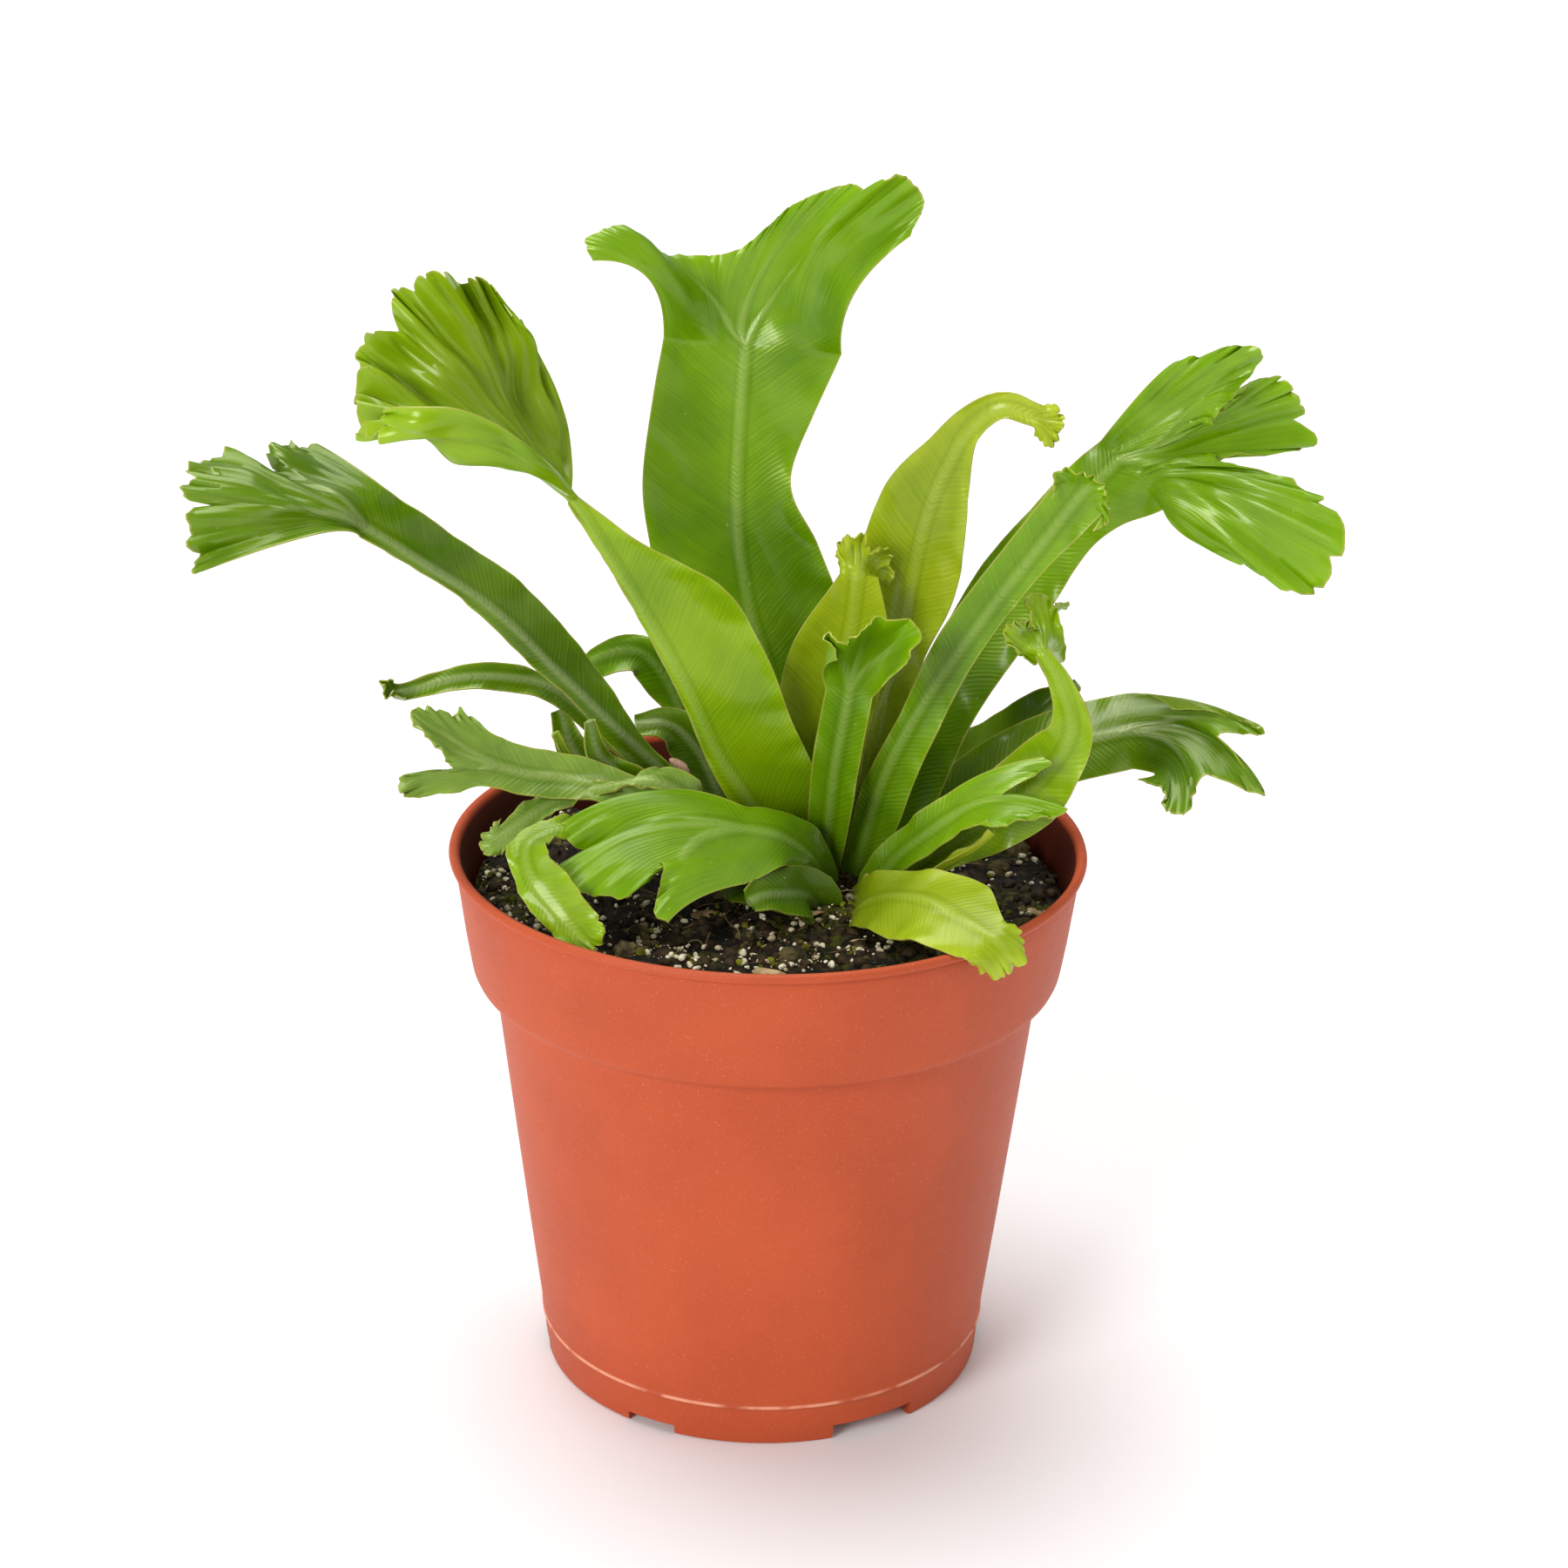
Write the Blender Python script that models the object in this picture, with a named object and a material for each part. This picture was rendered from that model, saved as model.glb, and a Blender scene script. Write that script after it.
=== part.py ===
"""A crested bird's-nest fern growing in a small round nursery pot.

Millimetres in the numbers below, metres in the model.  The origin is on the pot's axis, on the plane
the pot stands on.  +Z is up and -Y is the front.
"""
import bmesh
import bpy
import numpy as np

MM = 0.001

# Pot: one thin moulded shell, a tapering body with a wider collar above it.
POT_TURN = 48
POT_WALL = 1.2
POT_HEIGHT = 95.0
LIP_RADIUS = 54.0
COLLAR_TOP_RADIUS = 52.9
COLLAR_LOW_RADIUS = 50.3
COLLAR_LOW_HEIGHT = 74.2
BODY_TOP_RADIUS = 46.6
BODY_TOP_HEIGHT = 71.6
FOOT_RADIUS = 38.0
FOOT_WALL = 2.2
FLOOR_HEIGHT = 4.0
WIDE_NOTCH = (24.0, 2.8)
NARROW_NOTCH = (14.0, 1.8)
FIRST_NOTCH_ANGLE = -59.0
DRAIN_RADIUS = 4.0
DRAIN_RING = 27.0
DRAIN_TURN = 12
CUT_PAST = 3.0

# Potting mix: fills the pot to a little below the lip.
MIX_GAP = 0.3
MIX_EDGE_HEIGHT = 86.0
MIX_TOP_HEIGHT = 86.6
MIX_TURN = 36

# Crown: the short upright stem that every frond grows from, set in the mix.
CROWN_CENTRE = (5.0, 1.0)
CROWN_RADIUS = 15.0
CROWN_DEPTH = 9.0
CROWN_TOP_HEIGHT = 86.6
CROWN_TURN = 20

# Fronds: thin blades, laid as rows of faces across a midrib.
BLADE_THICKNESS = 0.8
FOLD_SOFTNESS = 0.5
CURVE_STEPS = 30
BIG, MIDDLE, SMALL = (8, 4, 10), (6, 3, 8), (5, 2, 4)

DARK = (0.070, 0.190, 0.012, 1.0)
FRESH = (0.150, 0.330, 0.015, 1.0)
YOUNG = (0.300, 0.440, 0.030, 1.0)

UP = [(0, 0, 1)]
FRONT = [(0, -1, 0.3)]


def frond(name, colour, rows, mid, width, face=UP, **more):
    """One frond's design.

    mid: points of the midrib from the crown to where the blade ends or its crest begins.
    width: half widths at even steps along the midrib, or a pair of such lists, left and right.
    face: the way the blade's face looks, at even steps.  roll turns it further, in degrees.
    cup: how far each half bends up over its width, in degrees.  fold: a crease along the midrib.
    crest: rays from the midrib's end to the fan's rim, each (degrees off the midrib's line, length,
    rise above the blade).  flare: the way the outer rays set off, left and right, in degrees.
    reach: how far a ray runs straight before it bends.  ruffle: (height, half waves, phase in radians).
    """
    spec = dict(name=name, colour=colour, rows=rows, mid=mid, width=width, face=face)
    defaults = dict(roll=[0], cup=[10], fold=[0], crest=[], flare=(0, 0), reach=0.5, ruffle=(0, 3, 0))
    return {**defaults, **spec, **more}


FRONDS = [
    frond("frond_tall", DARK, BIG,
          [(7, 7, 89), (6, 10, 103), (1, 13, 119), (-4, 15, 133), (-7, 17, 146), (-6, 20, 160), (-5, 23, 175)],
          ([2, 6, 10, 13, 15, 15, 13], [2, 6, 14, 15, 9, 14, 17]), FRONT,
          cup=[20, 20, 10, 5, 0, 0, 0], ruffle=(0.8, 7, 0),
          crest=[(-67, 29, -4), (-58, 32, -4), (-47, 26, -2), (-35, 15, 0), (6, 22, -1),
                 (25, 30, -3), (37, 35, -4), (39, 39, 2), (50, 37, 2), (49, 30, 3)]),
    frond("frond_cockscomb", FRESH, BIG,
          [(6, 0, 89), (3, -3, 102), (-3, -6, 116), (-8, -8, 129), (-16, -10, 141), (-26, -12, 154),
           (-35, -12, 164)],
          ([3, 4, 5, 5, 6, 6, 3], [3, 8, 11, 12, 7, 3, 2]), FRONT,
          roll=[0, 0, 0, 0, 0, 20, 30], cup=[0, 10, 10, 10, 20, 30], flare=(45, 30), ruffle=(1.5, 9, 0),
          crest=[(-24, 9, 10), (-27, 24, 12), (-34, 30, 10), (-37, 34, 6), (-30, 37, 3), (-21, 32, -2),
                 (-12, 38, -4), (7, 38, -1), (19, 35, 2), (26, 30, 4), (32, 21, 5), (41, 12, 4), (60, 3, 2)]),
    frond("frond_far_left", DARK, BIG,
          [(-1, 7, 89), (-14, 5, 101), (-23, 3, 111), (-34, 1, 125), (-46, -2, 138), (-58, -5, 149),
           (-68, -7, 155)],
          ([2.5, 3, 4, 4, 4, 4, 4], [2.5, 5, 7, 7, 6, 6, 6]), [(0, -0.6, 1)],
          roll=[20, 20, 10, 0], fold=[10, 20, 30, 30, 25, 20], flare=(50, 10), ruffle=(1, 9, 0),
          crest=[(-50, 8, 6), (-35, 16, 10), (-32, 22, 10), (-31, 25, 7), (-36, 24, 2), (-44, 26, -8),
                 (-25, 26, -7), (-11, 28, -6), (-2, 26, -6), (6, 20, -7), (11, 14, -6), (17, 16, -3),
                 (36, 15, 1), (43, 12, 1)]),
    frond("frond_left_mid", DARK, SMALL,
          [(-5, 12, 89), (-18, 13, 101), (-27, 12, 108), (-36, 10, 116), (-46, 7, 120), (-56, 4, 121),
           (-61, 3, 120)],
          [2.5, 3, 3, 3, 2.5, 2, 1.5], cup=[30], crest=[(-50, 2, 0), (-20, 4, 1), (20, 4, 2), (50, 2, 2)]),
    frond("frond_left_fork", DARK, MIDDLE,
          [(-5, -7, 89), (-13, -10, 99), (-24, -11, 107), (-35, -12, 111), (-43, -13, 113)],
          [2.5, 3.5, 4.5, 6, 6], [(0, -0.4, 1)], cup=[20], ruffle=(0.7, 7, 0),
          crest=[(-10, 16, -10), (-7, 18, -9), (-5, 16, -7), (-4, 7, -4), (-1, 13, 1), (-1, 17, 2),
                 (1, 17, 6), (-1, 13, 9), (-2, 10, 13), (-3, 5, 9)]),
    frond("frond_front_left", FRESH, BIG,
          [(10, -9, 90), (7, -13, 98), (2, -16, 103), (-4, -18, 105)],
          ([3, 8, 10, 11], [3, 5, 6, 5]), [(0, -0.6, 1)],
          cup=[20, 10, -10, -15], flare=(20, 20), reach=0.6, ruffle=(1, 7, 0),
          crest=[(-54, 24, -3), (-47, 24, -3), (-31, 17, -2), (-35, 25, -5), (-22, 30, -9),
                 (-14, 30, -10), (-12, 23, -8), (-5, 27, -9), (3, 29, -9), (0, 26, -9)]),
    frond("frond_front_fork", DARK, MIDDLE,
          [(1, -5, 90), (-9, -7, 100), (-18, -7, 113), (-24, -11, 117)],
          [2, 3, 3.5], [(0, -0.3, 1)], flare=(90, 0), reach=0.35, ruffle=(0.8, 7, 0),
          crest=[(-100, 8, 1), (-98, 12, -1), (-92, 13, -3), (-82, 9, -4), (-70, 6, -4), (-56, 10, -7),
                 (-46, 17, -11), (-36, 23, -14), (-26, 26, -13), (-16, 24, -9), (-8, 16, -5)]),
    frond("frond_rim_droop", DARK, SMALL,
          [(-1, -12, 89), (-14, -18, 95), (-26, -20, 98), (-35, -23, 101), (-40, -28, 101), (-38, -33, 99),
           (-34, -36, 96), (-30, -38, 92)],
          [2, 2.5, 3, 3.5, 4, 4, 3, 1], [(0, 0, 1), (0, 0, 1), (-1, -0.4, 0.6)]),
    frond("frond_back_arch", DARK, SMALL,
          [(-1, 12, 89), (-9, 16, 100), (-14, 19, 109), (-18, 22, 116), (-24, 24, 121), (-31, 24, 120),
           (-38, 22, 116)],
          [2, 3, 3.5, 4, 4, 3.5, 1]),
    frond("frond_rear_tall", DARK, MIDDLE,
          [(6, 13, 90), (0, 24, 117), (-6, 36, 138), (-9, 46, 150), (-11, 53, 153)],
          [3, 7, 9, 9, 7], [(0, -0.6, 0.6)], cup=[20], ruffle=(0.6, 5, 0),
          crest=[(-64, 9, 0), (-25, 6, -1), (32, 4, -3), (90, 5, -5)]),
    frond("frond_rear_right", DARK, MIDDLE,
          [(14, 16, 89), (22, 24, 103), (31, 33, 113), (40, 39, 119), (47, 43, 121)],
          [2.5, 4, 5, 5, 4], cup=[20], ruffle=(0.5, 5, 0),
          crest=[(-60, 4, -3), (-20, 7, -2), (20, 6, 1), (60, 4, 3)]),
    frond("frond_rear_left", DARK, SMALL,
          [(3, 22, 89), (-6, 28, 103), (-14, 34, 115), (-20, 41, 123), (-24, 47, 125)],
          [2.5, 4, 5.5, 5, 2], cup=[20]),
    frond("frond_rear_low", DARK, SMALL,
          [(8, 19, 89), (9, 28, 100), (11, 38, 106), (12, 48, 106), (13, 57, 101)],
          [3, 5, 6, 6, 2], cup=[20, 0, -10]),
    frond("frond_back_low", DARK, SMALL,
          [(-3, 18, 89), (-9, 21, 97), (-15, 23, 102), (-21, 24, 104), (-27, 23, 103), (-33, 21, 101)],
          [2, 3, 3.5, 3.5, 3, 1]),
    frond("leaf_left_broad", DARK, SMALL,
          [(-7, 9, 88), (-20, 11, 99), (-28, 12, 103), (-34, 13, 106), (-38, 14, 113)],
          [2, 3.5, 4, 4, 2], cup=[40]),
    frond("leaf_left_curled", DARK, SMALL,
          [(-8, 4, 88), (-21, 4, 100), (-28, 4, 103), (-34, 4, 106), (-37, 4, 112)],
          [2, 2.5, 2.5, 2, 1], cup=[60]),
    frond("leaf_left_pointed", DARK, SMALL,
          [(-8, -1, 89), (-16, -3, 99), (-22, -3, 107), (-27, -5, 113), (-30, -6, 119)],
          [2, 3, 3, 3, 1], cup=[50]),
    frond("frond_pale", YOUNG, MIDDLE,
          [(13, 4, 90), (16, 4, 111), (21, 5, 129), (25, 5, 145), (28, 4, 156), (32, 2, 167), (37, 0, 172),
           (44, -1, 171)],
          ([2.5, 6, 9, 12, 10, 5, 2.5, 2], [2.5, 6, 7, 6, 4, 2.5, 2, 1.5]), [(-0.2, -1, 0.3)],
          roll=[0, 0, 0, 0, 10], cup=[10, 20, 20, 30], ruffle=(0.6, 7, 0),
          crest=[(-110, 3, 1), (-80, 4, 2), (-45, 5, 3), (5, 3, 3), (55, 5, 3), (90, 4, 1)]),
    frond("frond_new_crested", YOUNG, MIDDLE,
          [(9, 2, 91), (8, 1, 108), (10, 0, 122), (13, -2, 134), (14, -3, 144)],
          [3, 6, 7.5, 6.5, 3.5], FRONT, cup=[30, 30, 20], ruffle=(0.8, 7, 0),
          crest=[(-60, 4, 2), (-40, 7, 3), (-21, 9, 2), (-1, 9, 2), (18, 6, 1), (58, 3, 1)]),
    frond("frond_new_fan", FRESH, MIDDLE,
          [(9, -3, 90), (10, -5, 100), (11, -7, 112), (13, -9, 126)],
          [2.5, 3.5, 4, 4], FRONT, cup=[20], flare=(30, 30), reach=0.4, ruffle=(0.5, 5, 0),
          crest=[(-18, 10, 8), (-21, 14, 6), (-7, 13, 8), (4, 17, 6), (27, 19, 5), (31, 16, 10), (27, 10, 13)]),
    frond("frond_right_main", FRESH, MIDDLE,
          [(15, -2, 90), (20, -4, 106), (27, -6, 122), (35, -8, 138), (44, -10, 152), (50, -11, 159)],
          [3, 5.5, 6.5, 6.5, 6, 5], FRONT, cup=[10, 15, 15, 20], ruffle=(0.8, 5, 0),
          crest=[(-95, 7, 4), (-65, 8, 1), (-16, 4, -1), (34, 5, 2), (70, 8, 4), (84, 8, 4)]),
    frond("frond_right_big", DARK, BIG,
          [(17, 5, 90), (24, 9, 106), (31, 12, 122), (39, 13, 136), (48, 12, 149), (58, 10, 160)],
          ([3, 6, 8, 9, 9, 8], [3, 6, 7, 8, 8, 8]), [(-0.1, -1, 0.5)],
          cup=[20, 20, 10, 0], flare=(30, 50), ruffle=(0.8, 7, 0),
          crest=[(-26, 18, -6), (-9, 27, -8), (3, 28, -5), (12, 19, -2), (19, 27, -7), (28, 31, -10),
                 (36, 28, -8), (42, 18, -4), (50, 28, -5), (60, 37, -5), (72, 40, -1), (81, 32, 2),
                 (86, 22, 2)]),
    frond("frond_right_twist", YOUNG, MIDDLE,
          [(19, -8, 89), (24, -11, 95), (31, -14, 101), (39, -17, 109), (46, -18, 117), (50, -18, 125),
           (48, -17, 132), (45, -16, 137)],
          [3, 5, 6, 6.5, 5, 3.5, 2, 1.2], [(0, -0.5, 1), (0, -0.5, 1), (0, -1, 0.5), (-0.5, -1, 0)],
          cup=[20], flare=(10, 10), ruffle=(0.5, 7, 0),
          crest=[(-69, 3, 4), (-1, 7, 7), (7, 8, 4), (13, 5, 0), (15, 2, -1), (20, 6, -3), (45, 6, -5),
                 (80, 3, -4)]),
    frond("leaf_right_dark", DARK, SMALL,
          [(19, 12, 88), (28, 17, 97), (36, 20, 102), (43, 22, 106), (49, 22, 112), (53, 22, 116)],
          [2, 4, 5.5, 6, 5, 1.5], [(0, -0.6, 1)], cup=[30]),
    frond("frond_far_right", DARK, MIDDLE,
          [(19, 7, 89), (27, 11, 95), (38, 14, 102), (50, 13, 108), (60, 10, 112)],
          [2.5, 4, 5.5, 6.5, 6.5], [(0, -1, 0.4)],
          cup=[10, 10, 0, -10], flare=(0, 20), reach=0.6, ruffle=(0.6, 7, 0),
          crest=[(-11, 10, 1), (3, 19, 2), (13, 26, 3), (14, 18, 3), (34, 28, 4), (35, 18, 7), (53, 19, 11),
                 (61, 17, 12), (55, 13, 10), (64, 9, 10)]),
    frond("frond_right_short", FRESH, MIDDLE,
          [(17, -11, 90), (21, -14, 98), (26, -17, 104), (31, -19, 109)],
          [2.5, 3.5, 4, 4], [(0, -0.7, 1)], cup=[20], flare=(0, 20), ruffle=(0.6, 7, 0),
          crest=[(-4, 17, -3), (2, 17, -4), (10, 8, -2), (22, 16, -7), (28, 17, -7), (35, 13, -3),
                 (49, 9, 0), (43, 7, 0)]),
    frond("sprout_yellow", YOUNG, SMALL,
          [(18, -16, 89), (23, -19, 95), (28, -20, 99), (33, -22, 103), (37, -23, 107)],
          [1.5, 1.8, 1.6, 1.5, 1], cup=[60]),
    frond("frond_front_right", YOUNG, MIDDLE,
          [(14, -18, 89), (16, -23, 95), (20, -30, 97), (26, -37, 99), (32, -44, 99)],
          [2.5, 5, 8, 10, 9], cup=[10, 0, -10], flare=(10, 10),
          crest=[(-92, 9, 2), (-50, 9, 4), (-10, 9, 3), (6, 14, 1), (18, 13, 0), (27, 14, -1), (48, 11, -1),
                 (88, 9, -1)]),
    frond("leaf_front_dark", DARK, SMALL,
          [(2, -13, 89), (-3, -17, 94), (-8, -20, 97), (-13, -23, 97)],
          [2.5, 4.5, 5, 1.5], cup=[20]),
    frond("leaf_front_low", DARK, SMALL,
          [(8, -17, 89), (6, -23, 91), (2, -28, 92), (-3, -32, 91)],
          [3, 5, 5.5, 2], cup=[20]),
]


def unit(vectors):
    """The vectors at length one."""
    return vectors / np.maximum(np.linalg.norm(vectors, axis=-1, keepdims=True), 1e-9)


def smooth_line(points, count):
    """count + 1 evenly spaced points on a smooth curve through the points, and its length."""
    p = np.array(points, float)
    p = np.vstack([2 * p[0] - p[1], p, 2 * p[-1] - p[-2]])
    pieces = []
    for i in range(1, len(p) - 2):
        before, start, end, after = p[i - 1:i + 3]
        t1 = np.linalg.norm(start - before) ** 0.5
        t2 = t1 + np.linalg.norm(end - start) ** 0.5
        t3 = t2 + np.linalg.norm(after - end) ** 0.5
        t = np.linspace(t1, t2, CURVE_STEPS + 1)[:, None]
        a = before + (start - before) * t / t1
        b = start + (end - start) * (t - t1) / (t2 - t1)
        c = end + (after - end) * (t - t2) / (t3 - t2)
        d = a + (b - a) * t / t2
        e = b + (c - b) * (t - t1) / (t3 - t1)
        curve = d + (e - d) * (t - t1) / (t2 - t1)
        pieces.append(curve if i == len(p) - 3 else curve[:-1])
    line = np.vstack(pieces)
    run = np.concatenate([[0], np.cumsum(np.linalg.norm(np.diff(line, axis=0), axis=1))])
    even = np.linspace(0, run[-1], count + 1)
    return np.stack([np.interp(even, run, line[:, k]) for k in range(3)], -1), run[-1]


def along(values, share):
    """Smooth value at each share, 0 to 1, of evenly spaced values."""
    v = np.array(values, float)
    if len(v) == 1:
        return np.repeat(v, len(share), 0)
    x = np.clip(share, 0, 1) * (len(v) - 1)
    i = np.minimum(x.astype(int), len(v) - 2)
    f = (x - i).reshape((-1,) + (1,) * (v.ndim - 1))
    v = np.concatenate([[2 * v[0] - v[1]], v, [2 * v[-1] - v[-2]]])
    p0, p1, p2, p3 = v[i], v[i + 1], v[i + 2], v[i + 3]
    bend = (2 * p0 - 5 * p1 + 4 * p2 - p3) * f ** 2 + (-p0 + 3 * p1 - 3 * p2 + p3) * f ** 3
    return 0.5 * (2 * p1 + (p2 - p0) * f + bend)


def blade_rows(spec):
    """Rows of points across the frond's blade, from the crown out to its tip or its crest's rim."""
    blade, fan, across = spec["rows"]
    mid, _ = smooth_line(spec["mid"], blade)
    share = np.linspace(0, 1, blade + 1)
    side = np.linspace(-1, 1, across + 1)
    heading = unit(np.gradient(mid, axis=0))
    face = along(spec["face"], share)
    normal = unit(face - (face * heading).sum(-1, keepdims=True) * heading)
    right = np.cross(heading, normal)
    roll = np.radians(along(spec["roll"], share))[:, None]
    normal, right = (normal * np.cos(roll) + right * np.sin(roll),
                     right * np.cos(roll) - normal * np.sin(roll))

    left_list, right_list = spec["width"] if isinstance(spec["width"], tuple) else (spec["width"],) * 2
    left_width = along(left_list, share)[:, None]
    right_width = along(right_list, share)[:, None]
    out = np.where(side < 0, left_width, right_width) * side
    bend = np.radians(along(spec["cup"], share))[:, None] * 2 / (left_width + right_width)
    bend = np.where(np.abs(bend) < 1e-5, 1e-5, bend)
    rise = (1 - np.cos(bend * out)) / bend
    out = np.sin(bend * out) / bend
    fold = np.radians(along(spec["fold"], share))[:, None]
    rise += (np.hypot(out, FOLD_SOFTNESS) - FOLD_SOFTNESS) * np.sin(fold)
    out *= np.cos(fold)
    rows = mid[:, None] + out[..., None] * right[:, None] + rise[..., None] * normal[:, None]
    if not spec["crest"]:
        return rows

    ahead, beside, above = heading[-1], right[-1], normal[-1]
    rays = np.array(spec["crest"], float)
    turn = np.radians(rays[:, :1])
    rim = mid[-1] + rays[:, 1:2] * (np.cos(turn) * ahead + np.sin(turn) * beside) + rays[:, 2:] * above
    rim = along(rim, (side + 1) / 2)
    flare = np.radians(np.where(side < 0, *spec["flare"]) * side)[:, None]
    setting_off = np.cos(flare) * ahead + np.sin(flare) * beside
    edge = rows[-1]
    knee = edge + setting_off * np.linalg.norm(rim - edge, axis=1, keepdims=True) * spec["reach"]
    q = (np.arange(1, fan + 1) / fan)[:, None, None]
    rows = np.concatenate([rows, (1 - q) ** 2 * edge + 2 * q * (1 - q) * knee + q ** 2 * rim])
    lift = unit(np.cross(np.gradient(rows, axis=0), np.gradient(rows, axis=1)))[-fan:]
    height, waves, phase = spec["ruffle"]
    rows[-fan:] += height * q ** 1.5 * np.sin(np.pi * waves * side + phase)[None, :, None] * lift
    return rows


def material(name, colour, roughness):
    """A plain finish, not metallic."""
    made = bpy.data.materials.new(name)
    made.use_nodes = True
    shader = made.node_tree.nodes["Principled BSDF"]
    shader.inputs["Base Color"].default_value = colour
    shader.inputs["Roughness"].default_value = roughness
    shader.inputs["Metallic"].default_value = 0.0
    made.diffuse_color = colour
    return made


def add_object(name, points, faces, finish):
    """A new object from points in millimetres."""
    mesh = bpy.data.meshes.new(name)
    mesh.from_pydata([tuple(c * MM for c in p) for p in points], [], faces)
    mesh.materials.append(finish)
    made = bpy.data.objects.new(name, mesh)
    bpy.context.collection.objects.link(made)
    return made


def add_frond(spec):
    """A frond's blade, given its thickness by a Solidify modifier."""
    rows = blade_rows(spec)
    count, across = rows.shape[:2]
    faces = []
    for i in range(count - 1):
        for j in range(across - 1):
            a = i * across + j
            faces.append((a, a + 1, a + 1 + across, a + across))
    made = add_object(spec["name"], rows.reshape(-1, 3).tolist(), faces,
                      material(spec["name"], spec["colour"], 0.45))
    made.data.shade_smooth()
    thicken = made.modifiers.new("thickness", "SOLIDIFY")
    thicken.thickness = BLADE_THICKNESS * MM
    thicken.offset = 0.0
    return made


def add_turned(name, profile, steps, finish, centre=(0.0, 0.0)):
    """A closed body turned from (radius, height) points that run counter-clockwise, both ends on the axis
    or the first point joined to the last."""
    body = bmesh.new()
    rings = []
    for radius, height in profile:
        if radius == 0:
            rings.append([body.verts.new((centre[0] * MM, centre[1] * MM, height * MM))])
            continue
        ring = []
        for k in range(steps):
            a = 2 * np.pi * k / steps
            x = centre[0] + radius * np.cos(a)
            y = centre[1] + radius * np.sin(a)
            ring.append(body.verts.new((x * MM, y * MM, height * MM)))
        rings.append(ring)
    pairs = list(zip(rings, rings[1:]))
    if profile[0][0] != 0:
        pairs.append((rings[-1], rings[0]))
    for lower, upper in pairs:
        for k in range(steps):
            n = (k + 1) % steps
            if len(lower) == 1:
                body.faces.new((lower[0], upper[n], upper[k]))
            elif len(upper) == 1:
                body.faces.new((lower[k], lower[n], upper[0]))
            else:
                body.faces.new((lower[k], lower[n], upper[n], upper[k]))
    mesh = bpy.data.meshes.new(name)
    body.to_mesh(mesh)
    body.free()
    mesh.materials.append(finish)
    mesh.shade_smooth()
    mesh.set_sharp_from_angle(angle=np.radians(35))
    made = bpy.data.objects.new(name, mesh)
    bpy.context.collection.objects.link(made)
    return made


def cut(target, cutter):
    """Take the cutter's shape out of the target, and hide the cutter."""
    cutter.hide_render = True
    cutter.display_type = "WIRE"
    step = target.modifiers.new(cutter.name, "BOOLEAN")
    step.operation = "DIFFERENCE"
    step.solver = "EXACT"
    step.object = cutter


def add_notch(name, angle, spread, height, finish):
    """A wedge that cuts the foot ring between two bearing about the pot's axis."""
    low, high = np.radians(angle - spread / 2), np.radians(angle + spread / 2)
    inner, outer = FOOT_RADIUS - FOOT_WALL - CUT_PAST, FOOT_RADIUS + CUT_PAST
    points = []
    for z in (-CUT_PAST, height):
        for radius, turn in ((inner, low), (outer, low), (outer, high), (inner, high)):
            points.append((radius * np.cos(turn), radius * np.sin(turn), z))
    faces = [(3, 2, 1, 0), (4, 5, 6, 7), (0, 1, 5, 4), (1, 2, 6, 5), (2, 3, 7, 6), (3, 0, 4, 7)]
    return add_object(name, points, faces, finish)


def add_pot():
    """The shell, its foot ring notched under the wall and its floor drained."""
    finish = material("pot", (0.680, 0.130, 0.065, 1.0), 0.55)
    outside = [(FOOT_RADIUS - 0.4, 0.0), (FOOT_RADIUS, 0.6), (BODY_TOP_RADIUS, BODY_TOP_HEIGHT),
               (BODY_TOP_RADIUS + 0.8, BODY_TOP_HEIGHT + 0.8), (COLLAR_LOW_RADIUS - 1.0, COLLAR_LOW_HEIGHT - 1.2),
               (COLLAR_LOW_RADIUS, COLLAR_LOW_HEIGHT), (COLLAR_TOP_RADIUS, 92.6), (LIP_RADIUS - 0.3, 93.4),
               (LIP_RADIUS, 94.2), (LIP_RADIUS - 0.3, POT_HEIGHT), (LIP_RADIUS - 1.1, POT_HEIGHT)]
    inside = [(COLLAR_TOP_RADIUS - 1.3, 94.2), (COLLAR_LOW_RADIUS - POT_WALL, COLLAR_LOW_HEIGHT + 0.8),
              (COLLAR_LOW_RADIUS - 2.2, COLLAR_LOW_HEIGHT - 0.1), (BODY_TOP_RADIUS - POT_WALL, BODY_TOP_HEIGHT + 0.6),
              (FOOT_RADIUS - 0.9, FLOOR_HEIGHT + 2.4), (FOOT_RADIUS - 2.2, FLOOR_HEIGHT + POT_WALL),
              (0, FLOOR_HEIGHT + POT_WALL)]
    under = [(0, FLOOR_HEIGHT), (FOOT_RADIUS - FOOT_WALL - 0.6, FLOOR_HEIGHT),
             (FOOT_RADIUS - FOOT_WALL, FLOOR_HEIGHT - 0.6), (FOOT_RADIUS - FOOT_WALL, 0.0)]
    pot = add_turned("pot", under + outside + inside, POT_TURN, finish)
    for k in range(6):
        angle = FIRST_NOTCH_ANGLE + 60 * k
        spread, height = WIDE_NOTCH if k % 2 == 0 else NARROW_NOTCH
        cut(pot, add_notch("notch_%d" % k, angle, spread, height, finish))
        x, y = DRAIN_RING * np.cos(np.radians(angle)), DRAIN_RING * np.sin(np.radians(angle))
        low, high = FLOOR_HEIGHT - CUT_PAST, FLOOR_HEIGHT + POT_WALL + CUT_PAST
        hole = [(0, low), (DRAIN_RADIUS, low), (DRAIN_RADIUS, high), (0, high)]
        cut(pot, add_turned("drain_%d" % k, hole, DRAIN_TURN, finish, (x, y)))
    return pot


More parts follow.
